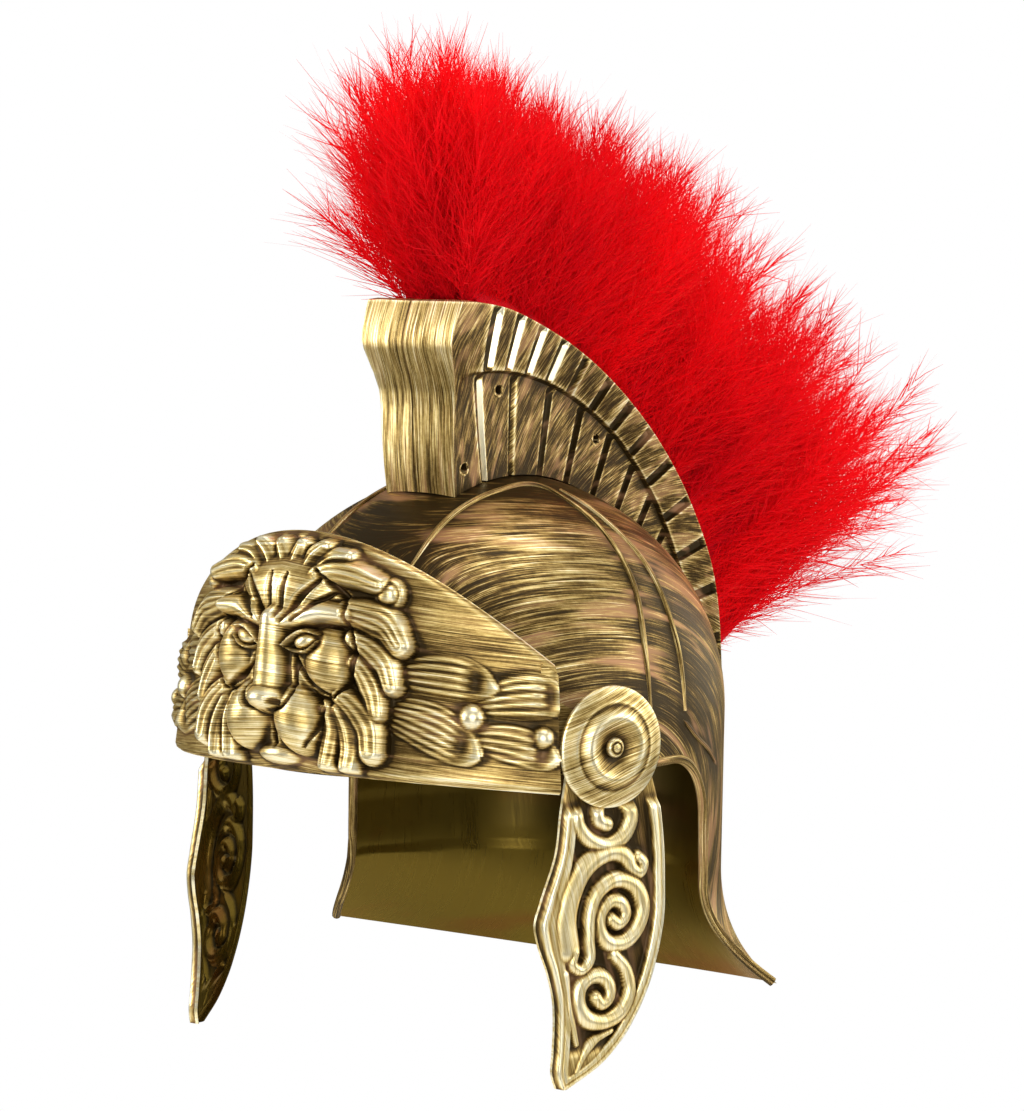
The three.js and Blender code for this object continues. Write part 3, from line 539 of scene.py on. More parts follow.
class Form:
    """Points, faces and paint of one mesh, gathered patch by patch."""

    def __init__(self):
        self.points, self.faces, self.wear, self.flow, self.lining = [], [], [], [], []
        self.size = 0

    def add(self, points, faces, wear, flow, lining=0.0):
        """One more patch: wear and lining are one number or one for each point."""
        points = np.asarray(points, float).reshape(-1, 3)
        n = len(points)
        self.faces += [np.asarray(face) + self.size for face in faces]
        self.points.append(points)
        self.wear.append(np.broadcast_to(np.ravel(wear), n))
        self.flow.append(np.asarray(flow, float).reshape(-1, 3))
        self.lining.append(np.broadcast_to(np.ravel(lining), n))
        self.size += n

    def mirrored(self):
        """The other side's form, with strokes of its own."""
        twin = Form()
        twin.points = [points * MIRROR for points in self.points]
        twin.faces = [face[:, ::-1] for face in self.faces]
        twin.wear, twin.lining, twin.size = self.wear, self.lining, self.size
        twin.flow = [flow + (40.0, 17.0, 9.0) for flow in self.flow]
        return twin

    def build(self, name, material, body, nodes, slot, sharp=55):
        """The finished object on its body, in place of the nodes. Edges over the sharp angle stay crisp."""
        mesh = bpy.data.meshes.new(name)
        points = (np.concatenate(self.points) - LAYOUT_ORIGIN) * MM
        corners = np.concatenate([face.ravel() for face in self.faces])
        sides = np.concatenate([np.full(len(face), face.shape[1]) for face in self.faces])
        mesh.vertices.add(len(points))
        mesh.vertices.foreach_set("co", points.ravel())
        mesh.loops.add(len(corners))
        mesh.loops.foreach_set("vertex_index", corners.astype(np.int32))
        mesh.polygons.add(len(sides))
        mesh.polygons.foreach_set("loop_start", np.concatenate(([0], np.cumsum(sides)[:-1])).astype(np.int32))
        mesh.update(calc_edges=True)
        # The wear attribute also carries painted highlights and painted shade on the dome, the visor and the crest; on
        # the feathers, lining carries painted shade
        for key, kind, field, values in (("wear", "FLOAT", "value", np.concatenate(self.wear)),
                                         ("lining", "FLOAT", "value", np.concatenate(self.lining)),
                                         ("flow", "FLOAT_VECTOR", "vector", np.concatenate(self.flow))):
            mesh.attributes.new(key, kind, "POINT").data.foreach_set(field, values.astype(np.float32).ravel())
        mesh.shade_smooth()
        if sharp:
            mesh.set_sharp_from_angle(angle=math.radians(sharp))
        mesh.materials.append(material)
        made = bpy.data.objects.new(name, mesh)
        bpy.context.scene.collection.objects.link(made)
        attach(made, body)
        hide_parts(*nodes)


def grid_quads(columns, rows, wrap=False):
    """Corner numbers of a grid's cells, the points running row by row."""
    i, j = np.meshgrid(np.arange(columns if wrap else columns - 1), np.arange(rows - 1))
    a, b = j * columns + i, j * columns + (i + 1) % columns
    return np.stack([a, b, b + columns, a + columns], -1).reshape(-1, 4)


def open_edges(quads):
    """Edges that belong to a single cell, each in its cell's direction."""
    edges = np.concatenate([quads[:, [k, (k + 1) % 4]] for k in range(4)])
    key = np.sort(edges, 1)
    _, first, times = np.unique(key[:, 0] * 10**7 + key[:, 1], return_index=True, return_counts=True)
    edges = edges[first[times == 1]]
    return edges[edges[:, 0] != edges[:, 1]]


def add_shell(form, outer, inner, quads, wear, flow, inner_wear=0.0, edge_wear=0.9, flip=False, inner_flow=None):
    """Outer and lined inner faces of a wall with the same cells, and a rim along the open edges."""
    outer, inner, flow = [np.reshape(values, (-1, 3)) for values in (outer, inner, flow)]
    way = -1 if flip else 1
    form.add(outer, [quads[:, ::way]], wear, flow)
    form.add(inner, [quads[:, ::-way]], inner_wear, flow + (0, 0, 5) if inner_flow is None else inner_flow, 1.0)
    rim = open_edges(quads)
    used, place = np.unique(rim, return_inverse=True)
    place = place.reshape(rim.shape)
    m = len(used)
    strip = np.stack([place[:, 1], place[:, 0], place[:, 0] + m, place[:, 1] + m], -1)
    form.add(np.concatenate([outer[used], inner[used]]), [strip[:, ::way]], edge_wear,
             np.concatenate([flow[used], flow[used]]))


# A direction that no cord runs along
TUBE_UP = np.array((0.13, 0.24, 0.96))


def add_tube(form, points, radius, wear, seed, sides=8, taper=0.0):
    """A closed cord along points, thinner at both ends by the taper."""
    n = len(points)
    along = unit(np.gradient(points, axis=0))
    side = unit(np.cross(along, TUBE_UP))
    up = np.cross(side, along)
    turn = np.linspace(0, 2 * np.pi, sides, endpoint=False)
    t = np.linspace(0, 1, n)
    size = radius * (1 - taper * (smooth(t, 0.9, 1) + 1 - smooth(t, 0, 0.1)))
    ring = np.cos(turn)[None, :, None] * side[:, None] + np.sin(turn)[None, :, None] * up[:, None]
    places = points[:, None] + ring * size[:, None, None]
    run = np.cumsum(np.linalg.norm(np.gradient(points, axis=0), axis=1))
    flow = stacked(run[:, None], turn[None] * radius, seed)
    ends = [np.arange(sides)[None, ::-1], (n - 1) * sides + np.arange(sides)[None]]
    form.add(places, [grid_quads(sides, n, wrap=True), *ends], wear, flow)


def turned(profile, sides, seed):
    """A form turned about Z from a profile with wear, brushed straight across at a slant."""
    turn = np.linspace(0, 2 * np.pi, sides, endpoint=False)
    radius, height = np.maximum(profile.radius, 0.001)[:, None], profile.height[:, None]
    x, y = radius * np.cos(turn), radius * np.sin(turn)
    flow = stacked(x * 0.94 + y * 0.34, y * 0.94 - x * 0.34, seed)
    wear = np.broadcast_to(profile.wear[:, None], x.shape)
    return stacked(x, y, height), grid_quads(sides, len(radius), wrap=True), wear, flow


# Places on the helmet, in millimetres

def rim_height(y):
    """Height of the neck guard's rim at a distance back."""
    return RIM.z - RIM.fall * (y - RIM.y)


def dome_point(h, plan, tilt, drop, inset=0.0):
    """The dome's wall by plan angle from +X: tilt from the crown, drop from the equator to the waist and the rim."""
    dome = h.dome
    plan, tilt, drop, inset = np.broadcast_arrays(plan, tilt, drop, inset)
    ring, waist = np.sin(tilt), np.minimum(1, drop)
    x = (dome.half_width - inset) * ring * np.cos(plan) * lerp(1, WAIST.wide, waist)
    y = (dome.half_length - inset) * ring * np.sin(plan) * lerp(1, WAIST.long, waist)
    high = (dome.height - inset) * np.cos(tilt) - dome.waist * waist
    size = np.maximum(np.hypot(x, y), TINY)
    out_x, out_y = x / size, y / size
    # The way out from the dome's centre to the circle of the rim
    shift = dome.centre - RIM.middle
    reach = -out_y * shift + np.sqrt((out_y * shift) ** 2 + (dome.rim_radius - inset) ** 2 - shift**2)
    below = np.clip(drop - 1, 0, 1)
    flare = below**WAIST.flare
    low = lerp(-dome.waist, rim_height(dome.centre + out_y * reach), below)
    return np.stack([lerp(x, out_x * reach, flare), dome.centre + lerp(y, out_y * reach, flare),
                     np.where(below > 0, low, high)], -1)


def arch_edge(z):
    """How far back the front edge of the neck guard lies at a height."""
    t = np.linspace(0, 1, 40)
    bend_y, bend_z = [(1 - t) ** 2 * start + 2 * t * (1 - t) * middle + t**2 * end
                      for start, middle, end in ((ARCH.post_y, ARCH.bend_y, RIM.y), (ARCH.post_z, ARCH.bend_z, RIM.z))]
    low = np.interp(-z, -bend_z, bend_y)
    rise = np.clip(z - ARCH.z, 0, ARCH.radius)
    corner = ARCH.y + np.sqrt(ARCH.radius**2 - rise**2)
    return np.where(z > ARCH.z, corner, np.where(z > ARCH.post_z, ARCH.post_y, low))


def halved(low, high, ahead):
    """The place between low and high at which the test turns false."""
    for _ in range(44):
        middle = (low + high) / 2
        true = ahead(middle)
        low, high = np.where(true, middle, low), np.where(true, high, middle)
    return (low + high) / 2


def edge_plan(h, drop):
    """Plan angle at which the neck guard starts on the left side."""
    def ahead(plan):
        point = dome_point(h, plan, np.pi / 2, drop)
        return point[..., 1] < arch_edge(point[..., 2])

    return halved(np.full_like(drop, -1.2), np.full_like(drop, 1.5), ahead)


def dome_side(h, y, z):
    """The left side of the dome at a place seen from the side."""
    dome = h.dome
    tilt = np.where(z > 0, np.arccos(np.clip(z / dome.height, 0, 1)), np.pi / 2)
    below = (-dome.waist - z) / (-dome.waist - rim_height(y))
    drop = np.clip(-z / dome.waist, 0, 1) + np.clip(below, 0, 1)
    plan = halved(np.full_like(y, -np.pi / 2), np.full_like(y, np.pi / 2),
                  lambda plan: dome_point(h, plan, tilt, drop)[..., 1] < y)
    return dome_point(h, plan, tilt, drop)


def pivot_frame(h):
    """How far out the left pivot lies, and the cosine and sine of its toe-in."""
    across = dome_side(h, np.array(PIVOT_Y), np.array(0.0))[0]
    return across, math.cos(h.guard.toe_in), math.sin(h.guard.toe_in)


def to_side(h, points):
    """From the left pivot's own frame (back, up, out) to the layout."""
    across, c, s = pivot_frame(h)
    back, up, out = np.moveaxis(np.asarray(points, float), -1, 0)
    return np.stack([across + back * s + out * c, PIVOT_Y + back * c - out * s, up], -1)


def visor_point(h, s, z, height):
    """The visor's band at an arc length and height, raised square to its slope."""
    turn = s / h.visor.radius
    lean = math.atan(h.visor.slope)
    reach = h.visor.radius - h.visor.slope * z + height * math.cos(lean)
    return np.stack([reach * np.sin(turn), h.dome.centre - reach * np.cos(turn), z + height * math.sin(lean)], -1)


def crest_radii(degrees):
    """Radius of the crest box's top and of the step in its side."""
    return curve(CREST_ARC.angle, CREST_ARC.top, degrees), curve(CREST_ARC.angle, CREST_ARC.step, degrees)


def crest_narrow(along):
    """Width of the crest box against its front."""
    return 1 - CREST_TAPER * smooth(along, 0.75, 1)


def crest_root(h, along, sunk):
    """The mid line of the crest's channel."""
    degrees = lerp(CREST_SPAN.top + PLUME_INSET, CREST_SPAN.rear - PLUME_INSET, along)
    radius = crest_radii(degrees)[0] - sunk
    turn = np.radians(degrees)
    return np.stack([0 * radius, h.dome.centre + radius * np.sin(turn), radius * np.cos(turn)], -1)


# Shaders

class Wire:
    """A socket whose sums and products add Math nodes to its tree."""

    def __init__(self, tree, socket):
        self.tree, self.socket = tree, socket

    def math(self, operation, *values):
        node = self.tree.nodes.new("ShaderNodeMath")
        node.operation = operation
        for slot, value in zip(node.inputs, values):
            plug(self.tree, slot, value)
        return Wire(self.tree, node.outputs[0])

    def __add__(self, other):
        return self.math("ADD", self, other)

    def __sub__(self, other):
        return self.math("SUBTRACT", self, other)

    def __rsub__(self, other):
        return self.math("SUBTRACT", other, self)

    def __mul__(self, other):
        return self.math("MULTIPLY", self, other)

    __radd__, __rmul__ = __add__, __mul__

    def clamp(self):
        limited = self.math("ADD", self, 0.0)
        limited.socket.node.use_clamp = True
        return limited

    def step(self, low, high):
        """A smooth rise from 0 to 1."""
        node = self.tree.nodes.new("ShaderNodeMapRange")
        node.interpolation_type = "SMOOTHSTEP"
        for name, value in (("Value", self), ("From Min", low), ("From Max", high)):
            plug(self.tree, node.inputs[name], value)
        return Wire(self.tree, node.outputs[0])


# Sockets of a Mix node that blends colours
MIX_A, MIX_B, MIX_COLOUR = 6, 7, 2


def plug(tree, slot, value):
    """Links a wire to a socket, or sets the socket's value."""
    if isinstance(value, Wire):
        tree.links.new(value.socket, slot)
    else:
        slot.default_value = value


class Paint:
    """One material or world tree, with the few kinds of node that the finishes need."""

    def __init__(self, owner):
        self.owner = owner
        owner.use_nodes = True
        self.tree = owner.node_tree
        self.tree.nodes.clear()

    def node(self, kind, settings, inputs, output=0):
        made = self.tree.nodes.new(kind)
        for name, value in settings.items():
            setattr(made, name, value)
        for name, value in inputs.items():
            plug(self.tree, made.inputs[name], value)
        return Wire(self.tree, made.outputs[output])

    def value(self, name):
        return self.node("ShaderNodeAttribute", {"attribute_name": name}, {}, "Fac")

    def vector(self, name):
        return self.node("ShaderNodeAttribute", {"attribute_name": name}, {}, "Vector")

    def scaled(self, vector, factors):
        return self.node("ShaderNodeVectorMath", {"operation": "MULTIPLY"}, {0: vector, 1: factors})

    def noise(self, vector, detail=3.0, rough=0.6, warp=0.0):
        return self.node("ShaderNodeTexNoise", {}, {"Vector": vector, "Scale": 1.0, "Detail": detail,
                                                    "Roughness": rough, "Distortion": warp}, "Fac")

    def mix(self, a, b, factor):
        """A blend of two colours, each a wire or red, green and blue."""
        a, b = [tint if isinstance(tint, Wire) else (*tint, 1) for tint in (a, b)]
        return self.node("ShaderNodeMix", {"data_type": "RGBA"}, {0: factor, MIX_A: a, MIX_B: b}, MIX_COLOUR)

    def ramp(self, factor, stops):
        """A colour ramp from a table of stops."""
        wire = self.node("ShaderNodeValToRGB", {}, {"Fac": factor})
        elements = wire.socket.node.color_ramp.elements
        while len(elements) < len(stops.stop):
            elements.new(1.0)
        for element, stop, r, g, b in zip(elements, stops.stop, stops.red, stops.green, stops.blue):
            element.position = stop
            element.color = (r, g, b, 1)
        return wire

    def output(self, shader, kind="ShaderNodeOutputMaterial"):
        plug(self.tree, self.tree.nodes.new(kind).inputs["Surface"], shader)
        return self.owner


def gold_material(scene, name):
    """Dry-brushed gold over dark paint: wear, with painted highlights and painted shade mixed into it, lifts the gold;
    brush streaks follow the flow.
    """
    bias, contrast, copper, grain = FINISHES[name]
    colours = scene.helmet_paint
    paint = Paint(bpy.data.materials.new(name))
    wear, lining, flow = paint.value("wear"), paint.value("lining"), paint.vector("flow")
    broad = paint.noise(paint.scaled(flow, (0.022, 0.16, 0.5)), 2.0, 0.5, 0.4)
    fine = paint.noise(paint.scaled(flow, (0.045, grain, 1.0)), 4.0, 0.62, 0.25)
    hair = paint.noise(paint.scaled(flow, (0.03, 2.6 * grain, 1.0)), 3.0, 0.7)
    speck = paint.noise(paint.scaled(flow, (0.55, 0.55, 1.0)), 5.0, 0.7)
    streak = (fine - 0.5) * 1.7 + (hair - 0.5) * 2.6 + (broad - 0.5) * 1.1 + (speck - 0.5) * 0.4
    cover = (wear * 0.52 + streak * contrast + bias).clamp()
    gold = paint.ramp(cover, GOLD_RAMP)
    warm = broad.step(0.5, 0.68) * (1 - cover) * copper
    gold = paint.mix(gold, colours.copper, warm)
    patch = paint.noise(paint.scaled(flow, (0.02, 0.035, 1.0)), 3.0, 0.5)
    inside = paint.mix(colours.lining, colours.lining_red, patch.step(0.47, 0.74) * 0.8)
    # Painted shade darkens the lining where its wear is below zero
    inside = paint.mix(inside, colours.lining_dark, (wear * -0.85).clamp())
    base = paint.mix(gold, inside, lining)
    rough = 0.5 - cover * 0.17 + (fine - 0.5) * 0.3 - lining * 0.14
    metal = (cover * 0.5 + 0.4) * (1 - lining) + lining * 0.8
    relief = (hair * 0.5 + fine * 0.7 + speck * 0.2) * (1 - lining * 0.85)
    bump = paint.node("ShaderNodeBump", {}, {"Strength": 0.35, "Distance": 0.0003, "Height": relief})
    shader = paint.node("ShaderNodeBsdfPrincipled", {}, {
        "Base Color": base, "Roughness": rough, "Metallic": metal, "Normal": bump,
        "Specular IOR Level": 0.3, "Specular Tint": (1.0, 0.80, 0.46, 1.0), "Coat Weight": 0.03,
        "Coat Roughness": 0.22})
    return paint.output(shader)


def feather_material(scene, name, core):
    """Soft red barbs, with painted shade in the depth and painted highlights at the tips. Wear runs from root to tip.
    """
    colours = scene.helmet_paint
    paint = Paint(bpy.data.materials.new(name))
    # On the feathers the lining attribute holds painted shade, from 0 in the light to 1 in the depth
    along, depth, flow = paint.value("wear"), paint.value("lining"), paint.vector("flow")
    tone = paint.noise(paint.scaled(flow, (0.06, 0.06, 0.06)), 3.0, 0.6)
    painted_light = (1 - depth * 0.75 + (tone - 0.5) * 0.9).clamp()
    red = paint.mix(colours.crimson, colours.red, painted_light)
    fleck = paint.noise(paint.scaled(flow, (0.9, 0.9, 0.9)), 2.0, 0.5)
    # A painted highlight on some tips, away from the painted shade
    tip = along.step(0.55, 1.0) * fleck.step(0.56, 0.72) * (1 - depth)
    base = paint.mix(red, colours.tip, tip)
    rough = 0.62 + (fleck - 0.5) * 0.3
    shader = paint.node("ShaderNodeBsdfPrincipled", {}, {
        "Base Color": base, "Roughness": rough, "Sheen Weight": 0.12, "Sheen Roughness": 0.4,
        "Sheen Tint": (1.0, 0.16, 0.10, 1.0), "Specular IOR Level": 0.08})
    if core:
        bump = paint.node("ShaderNodeBump", {}, {"Strength": 0.8, "Distance": 0.002, "Height": fleck})
        plug(paint.tree, shader.socket.node.inputs["Normal"], bump)
    else:
        through_light = paint.node("ShaderNodeBsdfTranslucent", {}, {"Color": (*colours.red, 1.0)})
        shader = paint.node("ShaderNodeMixShader", {}, {0: 0.35, 1: shader, 2: through_light})
    return paint.output(shader)


def material(scene, name):
    """The named finish, made on first use."""
    if name in bpy.data.materials:
        return bpy.data.materials[name]
    if name in FINISHES:
        return gold_material(scene, name)
    return feather_material(scene, name, name == "feather_core")


# Dome

def rib_lines(h):
    """Mid lines of the ribs on the left side."""
    lines = [through(dome_point(h, np.radians(rib.plan), np.radians(rib.down), 0.0), RIB_STEPS) for rib in RIBS]
    return lines + [dome_side(h, *through(stacked(ARCH_RIB.y, ARCH_RIB.z), FAINT_STEPS).T)]


def near_lines(points, lines):
    """Distance of each point from the nearest line."""
    near = np.full(len(points), FAR)
    for place in np.concatenate(lines):
        near = np.minimum(near, np.linalg.norm(points - place, axis=1))
    return near


def dome_walls(h):
    """Outer and inner points of the bowl and the neck guard, and the cells that both share."""
    dome = h.dome
    rear, front = 96, 96
    brow_drop = dome.brow / dome.waist
    start = edge_plan(h, np.array([brow_drop]))[0]
    plan = np.concatenate([np.linspace(start, np.pi - start, rear, endpoint=False),
                           np.linspace(np.pi - start, 2 * np.pi + start, front, endpoint=False)])
    tilt = np.radians(np.linspace(0.4, 90, 46))
    rows = np.concatenate([stacked(tilt, 0), [(np.pi / 2, brow_drop * k / 4) for k in (1, 2, 3, 4)]])
    bowl = [dome_point(h, plan[None], rows[:, :1], rows[:, 1:], inset) for inset in (0, dome.wall)]
    drop = np.concatenate([np.linspace(brow_drop, 1, 22)[:-1], np.linspace(1, 2, 30)])[:, None]
    edge = edge_plan(h, drop)
    around = lerp(edge, np.pi - edge, np.linspace(0, 1, rear + 1)[None])
    neck = dome_point(h, around, np.pi / 2, drop)
    # Inside, two faint steps run round the neck guard
    step = 0.5 * smooth(-neck[..., 2], 45.5, 46.3) - 0.9 * smooth(-neck[..., 2], 69.5, 70.5)
    necks = [neck, dome_point(h, around, np.pi / 2, drop, dome.wall - step)]
    # The neck's first row is the bowl's last one
    n = len(plan)
    upper = len(rows) * n
    lower = grid_quads(rear + 1, len(drop)) + upper
    last = upper - n + np.arange(rear + 1)
    lower = np.where(lower < upper + rear + 1, last[np.clip(lower - upper, 0, rear)], lower)
    quads = np.concatenate([grid_quads(n, len(rows), wrap=True), lower])
    outer, inner = [np.concatenate([a.reshape(-1, 3), b.reshape(-1, 3)]) for a, b in zip(bowl, necks)]
    return outer, inner, quads


def dome_flow(h, points):
    """Brush strokes in arcs about the wearer's temple, which follow the wall round the back."""
    dome = h.dome
    x, y, z = points.T
    turn = np.arctan2((y - dome.centre) / dome.half_length, np.abs(x) / dome.half_width)
    round_y = dome.centre + dome.half_length * turn
    back = lerp(y, round_y, smooth(np.abs(turn), 0.5, 1.2) * smooth(z, 78, 45))
    ahead, above = STROKES.narrow * (back - STROKES.y), z - STROKES.z
    arm = np.hypot(ahead, above)
    return np.stack([STROKES.stretch * arm * np.arctan2(ahead, above), arm, x * 0.05], -1)


def dome_wear_and_light(points, rib_gap):
    """Gold on the rim and lighter towards the crown, with painted highlights on the brow and the back; painted shade
    under the crest and beside the ribs.
    """
    x, y, z = points.T
    crown = 0.25 * smooth(z, 40, 90)
    # brow is a painted highlight high on the bowl's side, and back a painted highlight towards its back
    brow = 0.36 * swell(y, 2, 30) * swell(z, 64, 20)
    back = 0.52 * smooth(y, 70, 115)
    rim = 0.35 * swell(z, -92, 16)
    # Painted shade under the crest and beside the ribs
    painted_shade_under_crest = 0.9 * swell(x, 0, 30) * (z > 40)
    painted_shade_beside_ribs = 0.75 * swell(rib_gap, 0, 3.6)
    return 0.15 * np.cos(y / 23) - 0.2 + crown + brow + back + rim - painted_shade_under_crest - painted_shade_beside_ribs


def add_beads(form, h):
    """A bead along the brow and the ear arch on both sides."""
    turn = np.linspace(np.pi / 2, 0, 14)
    side = np.concatenate([stacked(np.linspace(2, 38, 8), -h.dome.brow),
                           stacked(ARCH.y + ARCH.radius * np.cos(turn), ARCH.z + ARCH.radius * np.sin(turn)),
                           [(ARCH.post_y, z) for z in (-45, -55, ARCH.post_z)],
                           [(arch_edge(np.array(z)), z) for z in (-72.0, -78.0, -84.0, -90.0, -95.0, -99.0, -101.0)]])
    bead = through(dome_side(h, *side.T) - (h.dome.wall / 2, 0, 0), 150)
    for k, sign in enumerate(BOTH_SIDES):
        add_tube(form, bead * (sign, 1, 1), h.dome.bead, 0.1, 60 + k, sides=10)


def dome_form(h):
    """The skull bowl and neck guard with ribs, beads and the bosses under the rivets."""
    form = Form()
    outer, inner, quads = dome_walls(h)
    lines = rib_lines(h)
    lines += [line * MIRROR for line in lines]
    wear = dome_wear_and_light(outer, near_lines(outer, lines))
    # The lining is unlit high up at the back
    dark = smooth(inner[:, 2], -74, -56) * swell(inner[:, 0], 0, 60) * smooth(inner[:, 1], 40, 90)
    add_shell(form, outer, inner, quads, wear, dome_flow(h, outer), -dark, 0.5, flip=True,
              inner_flow=inner * (0.3, 0.6, 0.035))
    for k, line in enumerate(lines):
        thin, worn, taper = (0.7, -0.3, 0.9) if len(line) == FAINT_STEPS else (1, 0.3, 0.35)
        add_tube(form, line, h.dome.rib * thin, worn, 20 + k, taper=taper)
    add_beads(form, h)
    points, cells, worn, flow = turned(BOSS, 40, 3)
    for sign in BOTH_SIDES:
        form.add(to_side(h, points) * (sign, 1, 1), [cells], worn, flow)
    return form


# Visor

def mound(s, z, row, power=0.5):
    """A rounded mass and its twin."""
    tilt = math.radians(row.tilt)
    side, rise = np.abs(s) - row.s, z - row.z
    u = (side * math.cos(tilt) + rise * math.sin(tilt)) / row.long
    v = (rise * math.cos(tilt) - side * math.sin(tilt)) / row.wide
    return row.high * rounded(np.hypot(u, v), power)


def rows_of(columns):
    """Each row of a table in turn."""
    names = list(vars(columns))
    for values in zip(*vars(columns).values()):
        yield SimpleNamespace(**dict(zip(names, values)))


def leaf(s, z, row):
    """A curled leaf with lengthwise strands and a scooped end."""
    root, tip = np.array((row.root_s, row.root_z)), np.array((row.tip_s, row.tip_z))
    size = np.hypot(*(tip - root))
    way = (tip - root) / size
    ds, dz = np.abs(s) - root[0], z - root[1]
    u = (ds * way[0] + dz * way[1]) / size
    v = (dz * way[0] - ds * way[1]) / row.wide - 0.22 * np.sin(np.pi * u)
    wide = np.sqrt(np.clip(u * (1 - u), 0, 1)) * 1.5 * (0.72 + 0.5 * u) + 1e-6
    across = v / np.minimum(wide, 1)
    inside = np.clip(1 - across**2, 0, 1) * ((u > 0) & (u < 1))
    height = row.high * inside**0.42 * smooth(u, -0.02, 0.3) * (0.7 + 0.3 * u)
    comb = smooth(inside, 0, 0.35) * (1 - smooth(u, 0.7, 0.85))
    strand = LEAF_STRAND * np.cos(np.pi * row.strands * across) * comb
    scoop = 2.6 * swell(u, 0.82, 0.09) * swell(across, 0, 0.62) * (inside > 0)
    return np.maximum(height + strand - scoop, 0)


def leaf_relief(s, z):
    """Leaves and berries beside the mask."""
    height = np.zeros_like(s)
    for row in rows_of(LEAVES):
        height = np.maximum(height, leaf(s, z, row))
    for row in rows_of(BERRIES):
        d = np.hypot(np.abs(s) - row.s, z - row.z) / row.radius
        height = np.maximum(height, row.high * rounded(d))
    return height


def lion_masses(s, z):
    """Face, mane and ears of the mask before it is cut."""
    ground = (np.abs(s) / MANE.wide) ** MANE.square + (np.abs(z - MANE.z) / MANE.tall) ** MANE.square
    mask = MANE.high * np.clip(1 - ground, 0, 1) ** 0.4
    for row in rows_of(LION):
        mask = soft_max(mask, mound(s, z, row, row.round), row.soft)
    for *widths, high, round_off, soft, strands, points in LOCKS:
        lock, off = cord(np.abs(s), z, points, widths, high, round_off)
        if strands:
            lock = lock + LOCK_STRAND * np.cos(np.pi * strands * off) * (lock > 2) * (1 - off * off)
        mask = soft_max(mask, lock, soft)
    d = np.hypot(np.abs(s) - EAR_BALL.s, z - EAR_BALL.z)
    ring = swell(d, EAR_BALL.ring, 0.7) * (d < EAR_BALL.radius)
    return np.maximum(mask, EAR_BALL.high * rounded(d / EAR_BALL.radius) - ring)


def lion_relief(s, z):
    """The mask with its creases, eyes and nostrils."""
    mask = lion_masses(s, z)
    for wide, deep, points in CREASES:
        cut = cord(np.abs(s), z, points, (wide * 0.5, wide, wide * 0.5), 1.0, 0.8)[0]
        mask = mask - deep * cut * smooth(mask, 1, 5)
    side, rise = np.abs(s) - EYE.s, z - EYE.z
    d = np.hypot((side + EYE.slope * rise) / EYE.long, (rise - EYE.slope * side) / EYE.wide)
    socket = np.exp(-((d / 1.5) ** 4))
    mask = lerp(mask, np.minimum(mask, EYE.floor), socket)
    mask = np.maximum(mask, (EYE.floor + EYE.high * rounded(d)) * (d < 1))
    for wide, high, points in LIDS:
        lid = cord(np.abs(s), z, points, (wide * 0.6, wide, wide * 0.6), high, 0.3)[0]
        mask = np.maximum(mask, lid)
    d = np.hypot((np.abs(s) - NOSTRIL.s) / NOSTRIL.long, (z - NOSTRIL.z) / NOSTRIL.wide)
    return np.maximum(mask - NOSTRIL.deep * rounded(d), 0)


def visor_end(h):
    """Arc length from the middle to the end of the band."""
    return h.visor.radius * h.visor.end


def visor_edges(h, s):
    """Heights of the band's lower and upper edge."""
    visor = h.visor
    return (-visor.bottom - visor.droop * (s / visor_end(h)) ** 2,
            visor.top * np.cos(VISOR_ARCH * s / visor.radius))


def visor_outside(h, s, v):
    """The band's outer face at arc lengths and shares of its height, with the relief and the height of each point."""
    low, high = visor_edges(h, s)
    z = lerp(low, high, v)
    s = np.broadcast_to(s, z.shape)
    relief = np.maximum(leaf_relief(s, z), lion_relief(s, z))
    relief = relief * smooth(z - low, 0, 2.5) * smooth(high - z, 0, 2.5)
    lip = 0.8 * swell(z - low, 1.5, 1.0) - 0.5 * swell(z - low, 3.6, 0.9)
    round_off = 0.7 * (swell(z, low, 0.5) + swell(z, high, 0.5))
    return visor_point(h, s, z, relief + lip * (1 - smooth(relief, 0.2, 1.5)) - round_off), relief, z


def visor_inside(h, s, v):
    """The band's inner face, hollow behind the mask, and the height of each point."""
    z = lerp(*visor_edges(h, s), v)
    s = np.broadcast_to(s, z.shape)
    face = next(rows_of(LION))
    hollow = 0.62 * mound(s * 1.12, face.z + (z - face.z) * 1.12, face)
    return visor_point(h, s, z, hollow - h.dome.wall), z


def visor_wear_and_sheen(s, v, relief):
    """Gold on what stands out and on the edges, and a painted sheen on the bare ends of the band."""
    sharp = np.clip((relief - blurred(relief, 2)) / 0.6, -0.75, 0.5)
    broad = np.clip((relief - blurred(relief, 8)) / 5.5, -0.45, 0.4)
    edges = swell(v, 0, 0.012) + swell(v, 1, 0.012)
    # bare is a painted sheen that lightens the plain ends of the band
    bare = 0.2 * smooth(np.abs(s), 44, 60) + 0.9 * smooth(np.abs(s), 74, 92)
    return np.clip(sharp + broad, -1.1, 1.1) + 0.8 * edges + bare * smooth(relief, 0.6, 0)


